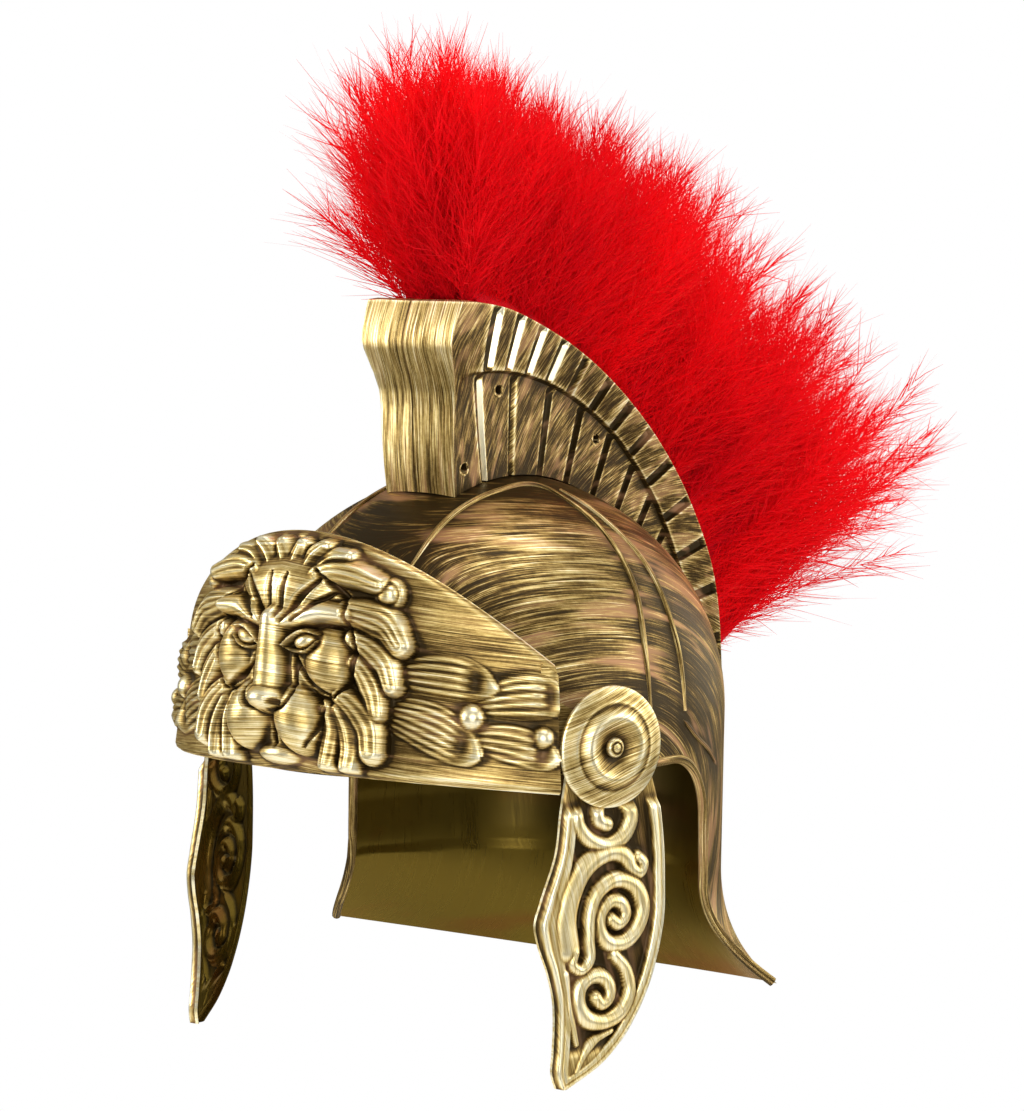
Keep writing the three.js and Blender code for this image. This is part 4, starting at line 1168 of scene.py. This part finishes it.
def add_tabs(form, h):
    """Bent tabs from the ends of the band to the pivots."""
    wall, steps, columns = h.dome.wall, 48, 14
    across, c, s = pivot_frame(h)
    off = visor_point(h, visor_end(h) - TAB_ROOT.inset, TAB_ROOT.z, -wall / 2) - (across, PIVOT_Y, 0)
    root = stacked(-(off[:, 0] * s + off[:, 1] * c), off[:, 0] * c - off[:, 1] * s, TAB_ROOT.low, TAB_ROOT.high)
    plate = through(np.concatenate([root, stacked(TAB.forward, TAB.out, TAB.low, TAB.high)]), steps)
    way = unit(np.gradient(plate[:, :2], axis=0))
    up = lerp(plate[:, 2:3], plate[:, 3:4], np.linspace(0, 1, columns)[None])
    faces = []
    for side in BOTH_SIDES:
        forward = plate[:, 0] + way[:, 1] * side * wall / 2
        out = plate[:, 1] - way[:, 0] * side * wall / 2
        faces.append(stacked(-forward[:, None], up, out[:, None]))
    flow = stacked(-faces[0][..., 0], faces[0][..., 1], 11.0)
    for sign in BOTH_SIDES:
        outer, inner = [to_side(h, face) * (sign, 1, 1) for face in faces]
        add_shell(form, outer, inner, grid_quads(columns, steps), 0.1, flow, edge_wear=0.6, flip=sign < 0)


def visor_form(h):
    """The brow band with its relief, its plain inside, its edges and the two tabs."""
    form = Form()
    t = np.linspace(-1, 1, h.visor.columns)
    outward = (np.abs(t) - FINE_SHARE) / (1 - FINE_SHARE)
    s = np.sign(t) * np.where(outward <= 0, FINE_SPAN * np.abs(t) / FINE_SHARE,
                              lerp(FINE_SPAN, visor_end(h), outward))[None]
    edge = np.array((0, 0.0025, 0.006, 0.012))
    v = np.concatenate([edge, np.linspace(0.02, 0.98, h.visor.rows), 1 - edge[::-1]])[:, None]
    outer, relief, z = visor_outside(h, s, v)
    form.add(outer, [grid_quads(s.size, v.size)], visor_wear_and_sheen(s, v, relief), stacked(s, z + 0.12 * np.abs(s), 0.0))
    # The inside is plain, so it has fewer cells
    coarse_s, coarse_v = s[:, ::3], v[[0, *range(3, len(v) - 3, 4), len(v) - 1]]
    inner, z = visor_inside(h, coarse_s, coarse_v)
    form.add(inner, [grid_quads(coarse_s.size, coarse_v.size)[:, ::-1]], 0.0, stacked(coarse_s, z, 5.0), 1.0)
    for columns, rows in ((s, v[:1]), (s, v[-1:]), (s[:, :1], v), (s[:, -1:], v)):
        outside = visor_outside(h, columns, rows)[0].reshape(-1, 3)
        inside = visor_inside(h, columns, rows)[0].reshape(-1, 3)
        run = stacked(np.arange(len(outside)) * 0.6, 0, 7.0)
        form.add(np.concatenate([outside, inside]), [grid_quads(len(run), 2)], 0.9, np.concatenate([run, run]))
    add_tabs(form, h)
    return form


# Cheek guards

def guard_relief(h, p, q, edge):
    """Raised border and scrolls over the guard's sunk field."""
    border = h.guard.border * smooth(edge, 0, 1.3) - 0.35 * swell(edge, 2.6, 0.5)
    border = border * (1 - smooth(edge, BORDER.inner, BORDER.outer))
    tip = 2.0 * smooth(-q, 106, 113) * smooth(edge, 0, 1.6)
    scroll = np.zeros_like(p)
    for *widths, high, points in SCROLLS:
        scroll = np.maximum(scroll, cord(p, q, points, [1.12 * wide for wide in widths], high)[0])
    relief = np.maximum(np.maximum(border, tip), scroll * smooth(edge, 2.6, 4.4))
    return relief * smooth(-q, BORDER.clear_from, BORDER.clear_to)


def guard_form(h):
    """The left cheek guard, hollow behind its relief."""
    form = Form()
    guard = h.guard
    columns, rows = guard.columns + 1, guard.rows + 1
    # Cells are finer towards both edges
    crowd = 0.16
    u = np.cos(np.pi * lerp(crowd, 1 - crowd, np.linspace(0, 1, columns)))[None]
    u = 0.5 - 0.5 * u / math.cos(crowd * math.pi)
    drop = lerp(-guard.top, guard.reach, np.linspace(0, 1, rows))[:, None]
    cap = np.sqrt(np.maximum(0.02, 1 - np.minimum(0, drop / guard.top) ** 2))
    front = curve(GUARD_EDGE.drop, GUARD_EDGE.front, drop) * cap
    rear = curve(GUARD_EDGE.drop, GUARD_EDGE.rear, drop) * cap
    p, q = lerp(front, rear, u), np.broadcast_to(-drop, (rows, columns))
    slant = np.abs(np.gradient(rear[:, 0], drop[:, 0]))[:, None]
    # The front border widens at the bulge
    broad = 1 + 0.75 * swell(drop, 62, 17)
    edge = np.minimum(u * (front - rear) / broad, (1 - u) * (front - rear) / np.hypot(1, slant))
    bow = guard.splay * np.maximum(0, drop / guard.reach) ** 2
    relief = guard_relief(h, p, q, edge)
    hollow = 0.75 * relief
    outer = stacked(-p, q, GUARD_SEAT + h.dome.wall + bow + relief - 0.7 * swell(edge, 0, 0.5))
    inner = stacked(-p, q, GUARD_SEAT + bow + np.maximum(hollow - 0.2, 0) * smooth(edge, 0, 2))
    worn = np.clip((relief - blurred(relief, 2)) / 0.5 + (relief - blurred(relief, 7)) / 2.0, -0.9, 0.5)
    high, sunk = 0.3 * smooth(relief, 1.0, 2.4), 0.15 * smooth(relief, 0.7, 0.1)
    wear = worn + high - sunk + 0.3 * (1 - smooth(edge, 4.6, 5.6))
    inner_wear = (hollow - blurred(hollow, 3)) / 0.8
    hole = np.hypot(p, q) < PIN_HOLE
    quads = grid_quads(columns, rows)
    quads = quads[~hole.ravel()[quads].any(1)]
    flow = stacked(q + 0.2 * p, p - 0.2 * q, 2.0)
    add_shell(form, to_side(h, outer), to_side(h, inner), quads, wear, flow, inner_wear, 0.9, flip=True)
    return form


# Crest box

def crest_lines(h):
    """Lines of the crest box's grid: columns along the box, after a front of their own, and rows up its section."""
    g, units = h.crest.groove_half, CREST_SPAN.units
    # Columns stand close at the walls of each slot
    walls = np.array((-g - 0.06, -g - 0.015, -g + 0.035, 0, g - 0.125, g - 0.1, g - 0.06, g - 0.04, g + 0.01, g + 0.06))
    slots = np.concatenate([UPPER_SLOTS, LOWER_SLOTS])
    along = np.concatenate([[0.0, 0.06, 0.14], (slots[:, None] + walls[None]).ravel(), np.arange(0.15, 9, 0.15),
                            np.arange(9.2, units, 0.4), [units - 0.25, units]])
    along = np.unique(np.round(along, 3))
    front, rear = np.array((0.0, 0.03, 0.1, 0.25, 0.45, 0.65, 0.85, 0.95)), np.array((0.95, 0.7, 0.4, 0.0))
    seam = np.concatenate([front, np.ones_like(along), rear])[None]
    along = np.concatenate([0 * front, along, np.full(len(rear), units)])[None]
    at = np.concatenate([np.linspace(0, 1.85, 24), [1.95, 2, 2.15, 2.6, 2.92, 3, 3.06, 3.2],
                         np.linspace(3.5, 5.8, 9), [5.95, 6]])[:, None]
    stop = np.arange(len(CREST_SECTION.lower))
    lower, upper, half, stand = [np.interp(at, stop, getattr(CREST_SECTION, key))
                                 for key in ("lower", "upper", "half", "front")]
    # The lower row's lines slant back towards the foot
    inner_part = smooth(along, 0, 1.2) * smooth(along, units, units - 1.2)
    part = (along + SLOT_SLANT * (1 - 2 * lower) * (1 - smooth(at, 1.9, 2.2)) * inner_part) / units
    # Towards the front the step between the rows smooths out
    height = lower * STEP_SHARE + upper * (1 - STEP_SHARE)
    ahead = 1 - smooth(along, 0.2, 1.7)
    half, stand = [lerp(value, np.interp(height, FRONT_SECTION.height, even), ahead)
                   for value, even in ((half, FRONT_SECTION.half), (stand, FRONT_SECTION.front))]
    # Distance of each column from the nearest slot of either row
    off = [along - stops[:, None] for stops in (UPPER_SLOTS, LOWER_SLOTS)]
    off_upper, off_lower = [np.take_along_axis(d, np.abs(d).argmin(0)[None], 0) for d in off]
    return SimpleNamespace(along=along, seam=seam, at=at, lower=lower, upper=upper, half=half, stand=stand, part=part,
                           ahead=ahead, off_upper=off_upper, off_lower=off_lower)


def wall_run(lines, off):
    """Width of a slot's rear wall: slanted near the front, steep further back."""
    return lerp(0.11, 0.05, smooth(lines.along - off, 5.8, 7.5))


def slot_depth(h, lines):
    """How deep each point lies in a slot, from 0 to 1."""
    g = h.crest.groove_half

    def sunk(off):
        return smooth(off, -g - 0.02, -g + 0.04) * (1 - np.clip((off - g - 0.01) / wall_run(lines, off) + 1, 0, 1))

    upper = sunk(lines.off_upper) * smooth(lines.at, 2.95, 3.1) * smooth(lines.at, 5.9, 5.6)
    return np.maximum(upper, sunk(lines.off_lower) * (1 - smooth(lines.at, 1.9, 2.0)))


def crest_place(h, lines, groove, depth):
    """Points of the crest box's wall at a depth, their angle back from upright and their radius."""
    dome, crest, along, seam = h.dome, h.crest, lines.along, lines.seam
    foot, step, top = [lerp(start, CREST_SPAN.rear, lines.part)
                       for start in (CREST_SPAN.foot, CREST_SPAN.step, CREST_SPAN.top)]
    degrees = np.where(lines.upper > 0, lerp(step, top, lines.upper), lerp(foot, step, lines.lower))
    wide = lerp(crest.gap / 2, lines.half * crest_narrow(lines.part) - groove - depth, seam)
    # The foot follows the dome's wall
    bare = np.hypot(np.sin(np.radians(degrees)) / dome.half_length, np.cos(np.radians(degrees)) / dome.height)
    low = np.sqrt(1 - (wide / dome.half_width) ** 2) / bare + 2 * crest.gap
    top_radius, step_radius = crest_radii(degrees)
    radius = np.where(lines.upper > 0, lerp(step_radius, top_radius, lines.upper), lerp(low, step_radius, lines.lower))
    blend = 1 - np.clip(along / 1.84, 0, 1)
    forward = blend * lines.stand + (along == 0) * (1 - seam) * crest.ridge
    turn = np.radians(degrees) + (blend - (along == CREST_SPAN.units)) * depth / radius
    return stacked(wide, dome.centre + radius * np.sin(turn) - forward, radius * np.cos(turn)), degrees, radius


def crest_wear_and_light(h, lines, slot):
    """Gold on the ledge, the rim and the lips of the slots, dark in the slots; a painted highlight on the front and
    painted shade on the sides.
    """
    g, at, along, seam = h.crest.groove_half, lines.at, lines.along, lines.seam
    off = np.where(at > LEDGE, lines.off_upper, lines.off_lower)
    lip = 0.9 * swell(np.abs(off), g + 0.04, 0.05)
    ledge = (0.8 * swell(at, 3.05, 0.12) - swell(at, 2.3, 0.4)) * (1 - lines.ahead)
    rim = 0.6 * swell(at, 6, 0.1) - 0.35 * swell(at, 0, 0.5)
    # The front gets a painted highlight and the sides painted shade; a dark line runs down the seam between bright
    # edges
    front = 0.25 + 0.5 * swell(seam, 1, 0.06) - 0.9 * swell(seam, 0, 0.02) + 0.5 * swell(seam, 0.06, 0.03)
    face = np.where(along == 0, front, -0.22)
    wear = np.clip(lip * (1 - slot) - 1.3 * slot + ledge + rim + face, -1.3, 1)
    # The slots' rear walls get a painted highlight near the front and painted shadow further back
    painted_light = np.where(at > LEDGE, smooth(along - off, 7.5, 5.8), smooth(along - off, 5.0, 2.5))
    on_wall = (off > g + 0.005 - wall_run(lines, off)) & (off < g + 0.015) & (np.abs(at - LEDGE) > 0.6)
    return np.where(on_wall, np.where(painted_light > 0.01, lerp(wear, 2.2, painted_light), -1.2), wear)


def crest_flow(outer, along, degrees, radius):
    """Strokes slant across the sides and run up the front."""
    arc = np.radians(degrees) * 125
    side = stacked(2.4 * (arc * 0.55 + radius * 0.84), arc * 0.84 - radius * 0.55, 1.0)
    front = stacked(outer[..., 2], outer[..., 0] * 1.3, 4.0)
    return np.where((along == 0)[..., None], front, side)


def add_screw_holes(form, h, outer, quads):
    """A worn ring in each screw hole. The cells over the holes go."""
    places = outer.reshape(-1, 3)
    centre = places[quads].mean(1)
    gone = np.zeros(len(quads), bool)
    sides = 24
    ring = np.linspace(0, 2 * np.pi, sides, endpoint=False)[None]
    radius, height = SCREW_RING.radius[:, None], SCREW_RING.height[:, None]
    for angle_back, reach in zip(np.radians(SCREWS.angle), SCREWS.radius):
        y, z = h.dome.centre + reach * np.sin(angle_back), reach * np.cos(angle_back)
        gone |= (np.hypot(centre[:, 1] - y, centre[:, 2] - z) < SCREW_CUT) & (centre[:, 0] > 10)
        x = places[np.argmin(np.hypot(places[:, 1] - y, places[:, 2] - z)), 0]
        points = stacked(x + height, y + radius * np.cos(ring), z + radius * np.sin(ring))
        form.add(points, [grid_quads(sides, len(radius), wrap=True)], np.repeat(SCREW_RING.wear, sides),
                 points * (0, 1, 1))
    return quads[~gone]


def crest_half(h, side):
    """One half of the crest box: the left one, with the screw holes, or the plain right one."""
    form = Form()
    lines = crest_lines(h)
    slot = slot_depth(h, lines)
    outer, degrees, radius = crest_place(h, lines, h.crest.groove * slot, 0)
    inner = crest_place(h, lines, 0, h.dome.wall + h.crest.groove / 3)[0]
    quads = grid_quads(lines.along.size, lines.at.size)
    if side > 0:
        quads = add_screw_holes(form, h, outer, quads)
    flow = crest_flow(outer, lines.along, degrees, radius)
    add_shell(form, outer, inner, quads, crest_wear_and_light(h, lines, slot), flow, edge_wear=0.4)
    return form if side > 0 else form.mirrored()


# Plume

def plume_fan(key, along):
    """A column of the plume's table at shares of the way along the crest."""
    return curve(PLUME_FAN.share, getattr(PLUME_FAN, key), along)


def plume_core(h):
    """The backing strip in the crest's channel and the dense body over it."""
    form = Form()
    columns = 64
    along = np.linspace(0.02, 0.993, columns)
    lift, size, thick = np.radians(plume_fan("lift", along)), plume_fan("length", along), plume_fan("thick", along)
    way = stacked(0, np.cos(lift), np.sin(lift))
    sunk, channel = crest_root(h, along, 8), crest_root(h, along, 0)
    strip = h.plume.half_strip * crest_narrow(along)
    at = np.concatenate([[-1, -0.5], np.linspace(0, 1, 16)])
    rows = []
    for share, half in zip(at, np.interp(at, PLUME_SECTION.along, PLUME_SECTION.half)):
        row = (sunk if share < 0 else channel) + way * (max(share, 0) * 0.5 * size)[:, None]
        row[:, 0] = lerp(strip, h.plume.half_body * half * thick, smooth(share, 0, 0.2))
        rows.append(row)
    left = np.stack(rows)
    add_shell(form, left, left * MIRROR, grid_quads(columns, len(at)), 0.0, left, 0.0, 0.0)
    # The whole core is painted with the plume's deep shade
    form.lining = [np.full(len(points), 0.9) for points in form.points]
    return form


def feather_shafts(h, rng, clumps, batch, feathers):
    """Roots, directions and sizes of a batch of feathers along the crest."""
    n = len(batch)
    along = np.clip((batch + rng.random(n)) / feathers * 1.02 - 0.01, 0, 1)
    along = rng.permutation(lerp(along, 0.5 - 0.5 * np.cos(np.pi * along), 0.45))
    aside = rng.uniform(-1, 1, n)
    clump = clumps[:, (np.floor(along * 25.9) * 3 + np.floor((aside + 1) * 1.49)).astype(int)]
    stray = np.clip(rng.normal(0, 3.5, n), -6, 6)
    gather = 4 * clump[0] * smooth(along, 0, 0.1) * smooth(along, 1, 0.88)
    lift = np.radians(plume_fan("lift", lerp(0.01, 0.89, along)) + stray + gather)
    # The rear feathers are the tallest, and short ones in front lean forward
    rear = smooth(along, 0.8, 0.95)
    tall = rng.random(n) ** lerp(0.58, 0.42, rear)
    lift = lift + np.radians(30) * (1 - tall) ** 1.2 * smooth(along, 0.12, 0)
    lean = aside * (np.radians(11) * plume_fan("thick", along) + np.radians(14) * (1 - tall))
    lean = lean + rng.normal(0, 0.04, n) + 0.05 * clump[1]
    way = stacked(np.sin(lean), np.cos(lean) * np.cos(lift), np.cos(lean) * np.sin(lift))
    root = crest_root(h, along, 4)
    root[:, 0] = aside * 14 * crest_narrow(along)
    reach = plume_fan("length", along)
    size = reach * lerp(0.28, 0.89, tall) * (1 - 0.08 * np.abs(aside))
    size = size * (1 + 0.09 * rear - 0.05 * smooth(along, 0.45, 0.2) + 0.04 * smooth(along, 0.06, 0))
    size = np.minimum(size, rng.normal(146, 6, n))
    side = unit(np.cross(way, rng.normal(0, 1, (n, 3))))
    curl = np.clip(rng.normal(0, 0.1, (2, n, 1)), -0.16, 0.16)
    bend = np.cross(side, way) * curl[0] + side * curl[1]
    return SimpleNamespace(root=root, way=way, bend=bend, side=side, size=size, reach=reach, aside=aside, tone=clump[2])


def feather_barbs(h, rng, shafts):
    """Barbs off both sides of each shaft, as ribbons of two cells that sweep towards the shaft's tip."""
    plume, n, barbs = h.plume, len(shafts.size), h.plume.barbs
    root, way, bend, side, size = [values[:, None] for values in
                                   (shafts.root, shafts.way, shafts.bend, shafts.side, shafts.size)]
    t = 0.05 + 0.95 * (np.arange(barbs)[None] + rng.random((n, barbs))) / barbs
    foot = root + (way * t[..., None] + bend * (t**2)[..., None]) * size[..., None]
    heading = unit(way + 2 * bend * t[..., None])
    spread = np.radians(rng.normal(40, 13, (n, barbs))) * (1 - 0.35 * smooth(t, 0.85, 1.0))
    roll = rng.normal(0, 0.75, (n, barbs))[..., None]
    plane = unit(np.cross(heading, side * np.cos(roll)))
    hand = np.where(np.arange(barbs) % 2, 1, -1)[None, :, None]
    out = (side * np.cos(roll) + plane * np.sin(roll)) * hand
    start = heading * np.cos(spread)[..., None] + out * np.sin(spread)[..., None]
    long = plume.barb_length * np.interp(t, BARB_LENGTH.along, BARB_LENGTH.share) * rng.uniform(0.6, 1.12, t.shape)
    sweep = heading * 0.32 + rng.normal(0, 0.2, (n, barbs, 3))
    stops = BARB_WIDTH.along[:, None]
    line = start[..., None, :] * stops + sweep[..., None, :] * stops**2
    line = foot[..., None, :] + line * long[..., None, None]
    flat = unit(np.cross(start, rng.normal(0, 1, start.shape)))
    edge = flat[..., None, :] * (plume.barb_width * BARB_WIDTH.share / 2)[:, None]
    points = np.stack([line - edge, line + edge], -2)
    # Six points and two cells a barb
    first = np.arange(n * barbs)[:, None] * 6 + np.arange(2)[None] * 2
    quads = np.stack([first, first + 1, first + 3, first + 2], -1).reshape(-1, 4)
    tip = np.tile(np.repeat(BARB_WIDTH.along, 2), n * barbs)
    # Painted shade darkens barbs low in the plume and near its middle, less towards the barbs' ends; some clumps have a
    # darker tone
    depth = 1 - smooth(t * size / shafts.reach[:, None], 0.25, 0.85)
    depth = depth * (1 - 0.5 * np.abs(shafts.aside))[:, None] + 0.32 * shafts.tone[:, None]
    depth = np.clip(np.repeat(depth.ravel(), 6) * 0.9 - tip * 0.35, 0, 1)
    form = Form()
    form.add(points, [quads], tip, points, depth)
    return form


def feather_forms(h, batches):
    """Feathers shared out over a few meshes. They lie in clumps that share a lift, a lean and a tone."""
    rng = np.random.default_rng(h.plume.seed)
    feathers = h.plume.feathers // 1
    clumps = np.clip(rng.normal(0, 1, (3, 90)), -1.6, 1.6)
    return [feather_barbs(h, rng, feather_shafts(h, rng, clumps, batch, feathers))
            for batch in np.array_split(np.arange(feathers), batches)]


# Studio

def studio_floor(scene):
    """A plain pale disc well below the helmet."""
    turn = np.linspace(0, 2 * np.pi, 96, endpoint=False)
    mesh = bpy.data.meshes.new("studio_floor")
    mesh.from_pydata(FLOOR_RADIUS * stacked(np.cos(turn), np.sin(turn), 0), [], [range(len(turn))])
    paint = Paint(bpy.data.materials.new("studio_floor"))
    place = paint.node("ShaderNodeTexCoord", {}, {}, "Object")
    tone = paint.noise(paint.scaled(place, (1.5, 1.5, 1.5)), 3.0, 0.5)
    base = paint.mix(scene.helmet_paint.floor, (0.9, 0.9, 0.9), tone)
    shader = paint.node("ShaderNodeBsdfPrincipled", {}, {"Base Color": base, "Roughness": 0.9})
    mesh.materials.append(paint.output(shader))
    floor = bpy.data.objects.new("studio_floor", mesh)
    floor.location.z = -scene.helmet_stage.floor_drop
    scene.collection.objects.link(floor)


def studio_lights(scene):
    """Soft panels round the helmet."""
    for name, (spot, wide, tall) in LIGHTS.items():
        data = bpy.data.lights.new(f"studio_{name}", "AREA")
        data.shape = "RECTANGLE"
        data.size, data.size_y, data.energy = wide, tall, getattr(scene.helmet_stage, name)
        lamp = bpy.data.objects.new(f"studio_{name}", data)
        lamp.location = spot
        lamp.rotation_euler = (TARGET - lamp.location).to_track_quat("-Z", "Y").to_euler()
        scene.collection.objects.link(lamp)


def studio_world(scene):
    """Light from above, and a white ground behind the helmet."""
    scene.world = bpy.data.worlds.new("studio_world")
    paint = Paint(scene.world)
    up = paint.node("ShaderNodeSeparateXYZ", {}, {0: paint.node("ShaderNodeTexCoord", {}, {}, "Generated")}, "Z")
    glow = paint.mix((0.16, 0.16, 0.16), (1.3, 1.3, 1.3), up.step(-0.1, 0.9))
    seen = paint.node("ShaderNodeLightPath", {}, {}, "Is Camera Ray")
    light = paint.node("ShaderNodeBackground", {}, {"Color": glow, "Strength": scene.helmet_stage.sky})
    plain = paint.node("ShaderNodeBackground", {}, {"Color": (1, 1, 1, 1), "Strength": 1.0})
    paint.output(paint.node("ShaderNodeMixShader", {}, {0: seen, 1: light, 2: plain}), "ShaderNodeOutputWorld")


def studio_camera(scene):
    """The camera, ahead of the helmet's left side and a little above its middle."""
    stage = scene.helmet_stage
    data = bpy.data.cameras.new("studio_camera")
    data.lens, data.sensor_width, data.sensor_fit = stage.lens, 36.0, "AUTO"
    data.clip_start, data.clip_end = 0.05, 40.0
    camera = bpy.data.objects.new("studio_camera", data)
    flat = math.cos(stage.elevation)
    away = Vector((math.sin(stage.azimuth) * flat, -math.cos(stage.azimuth) * flat, math.sin(stage.elevation)))
    camera.location = TARGET + away * stage.distance
    camera.rotation_euler = (-away).to_track_quat("-Z", "Y").to_euler()
    scene.collection.objects.link(camera)
    scene.camera = camera


# Operators

class HELMET_OT_dome(bpy.types.Operator):
    """Builds the skull bowl with its ribs, ear arches and neck guard"""
    bl_idname = "helmet.dome"
    bl_label = "Build Dome"

    def execute(self, context):
        h = sizes(context.scene)
        dome_form(h).build("dome_shell", material(context.scene, "gold_dome"), "helmet", ["dome"], "gold_shell")
        return {"FINISHED"}


class HELMET_OT_visor(bpy.types.Operator):
    """Builds the brow plate with the lion mask and leaves"""
    bl_idname = "helmet.visor"
    bl_label = "Build Visor"

    def execute(self, context):
        h = sizes(context.scene)
        visor_form(h).build("visor_plate", material(context.scene, "gold_visor"), "helmet", ["visor"], "pale_gold",
                            70)
        return {"FINISHED"}


class HELMET_OT_guards(bpy.types.Operator):
    """Builds the two hanging cheek guards"""
    bl_idname = "helmet.guards"
    bl_label = "Build Cheek Guards"

    def execute(self, context):
        left = guard_form(sizes(context.scene))
        for name, form in (("left", left), ("right", left.mirrored())):
            form.build(f"cheek_guard_{name}_relief", material(context.scene, "gold_guard"), f"cheek_{name}",
                       [f"cheek_guard_{name}"], "pale_gold", 70)
        return {"FINISHED"}


class HELMET_OT_rosettes(bpy.types.Operator):
    """Builds the round bosses and rivets over the pivots"""
    bl_idname = "helmet.rosettes"
    bl_label = "Build Rosettes"

    def execute(self, context):
        h = sizes(context.scene)
        for label, profile, lift, sides in (("rosette", ROSETTE, ROSETTE_SEAT, 120), ("rivet", RIVET, 0.0, 48)):
            points, quads, wear, flow = turned(profile, sides, 6)
            form = Form()
            form.add(to_side(h, points + (0, 0, lift)), [quads], wear, flow)
            for name, made in (("left", form), ("right", form.mirrored())):
                made.build(f"{label}_{name}_boss", material(context.scene, "gold_boss"), "helmet",
                           [f"{label}_{name}"], "pale_gold", 60)
        return {"FINISHED"}


class HELMET_OT_crest(bpy.types.Operator):
    """Builds the two halves of the crest box"""
    bl_idname = "helmet.crest"
    bl_label = "Build Crest Box"

    def execute(self, context):
        h = sizes(context.scene)
        for name, side in (("left", 1), ("right", -1)):
            crest_half(h, side).build(f"crest_box_{name}", material(context.scene, "gold_crest"), "helmet",
                                      [f"crest_holder_{name}"], "gold_shell", 35)
        return {"FINISHED"}


class HELMET_OT_plume(bpy.types.Operator):
    """Builds the feather plume"""
    bl_idname = "helmet.plume"
    bl_label = "Build Plume"

    def execute(self, context):
        h = sizes(context.scene)
        plume_core(h).build("plume_core", material(context.scene, "feather_core"), "helmet", ["plume"], "plume")
        for k, form in enumerate(feather_forms(h, 4)):
            form.build(f"plume_feathers_{k + 1}", material(context.scene, "feather_barbs"), "helmet", ["plume"],
                       "plume", None)
        return {"FINISHED"}


class HELMET_OT_stage(bpy.types.Operator):
    """Builds the studio: floor, soft lights, camera and background"""
    bl_idname = "helmet.stage"
    bl_label = "Build Studio"

    def execute(self, context):
        studio_floor(context.scene)
        studio_lights(context.scene)
        studio_world(context.scene)
        studio_camera(context.scene)
        context.scene.view_settings.view_transform = "Standard"
        return {"FINISHED"}


class HELMET_PT_panel(bpy.types.Panel):
    """Sizes, colours and build steps of the helmet"""
    bl_idname = "HELMET_PT_panel"
    bl_label = "Centurion Helmet"
    bl_space_type = "VIEW_3D"
    bl_region_type = "UI"
    bl_category = "Helmet"

    def draw(self, context):
        for operator in OPERATORS:
            self.layout.operator(operator.bl_idname)
        for key, group in GROUPS.items():
            box = self.layout.box()
            box.label(text=group.__name__)
            for name in group.__annotations__:
                box.prop(getattr(context.scene, key), name)


OPERATORS = (HELMET_OT_dome, HELMET_OT_visor, HELMET_OT_guards, HELMET_OT_rosettes, HELMET_OT_crest, HELMET_OT_plume,
             HELMET_OT_stage)
CLASSES = (*GROUPS.values(), *OPERATORS, HELMET_PT_panel)


def register():
    for cls in CLASSES:
        bpy.utils.register_class(cls)
    for key, group in GROUPS.items():
        setattr(bpy.types.Scene, key, bpy.props.PointerProperty(type=group))


def unregister():
    for key in GROUPS:
        delattr(bpy.types.Scene, key)
    for cls in reversed(CLASSES):
        bpy.utils.unregister_class(cls)


def main():
    """Builds every piece and the studio."""
    register()
    bpy.ops.helmet.dome()
    bpy.ops.helmet.visor()
    bpy.ops.helmet.guards()
    bpy.ops.helmet.rosettes()
    bpy.ops.helmet.crest()
    bpy.ops.helmet.plume()
    bpy.ops.helmet.stage()


if __name__ == "__main__":
    main()
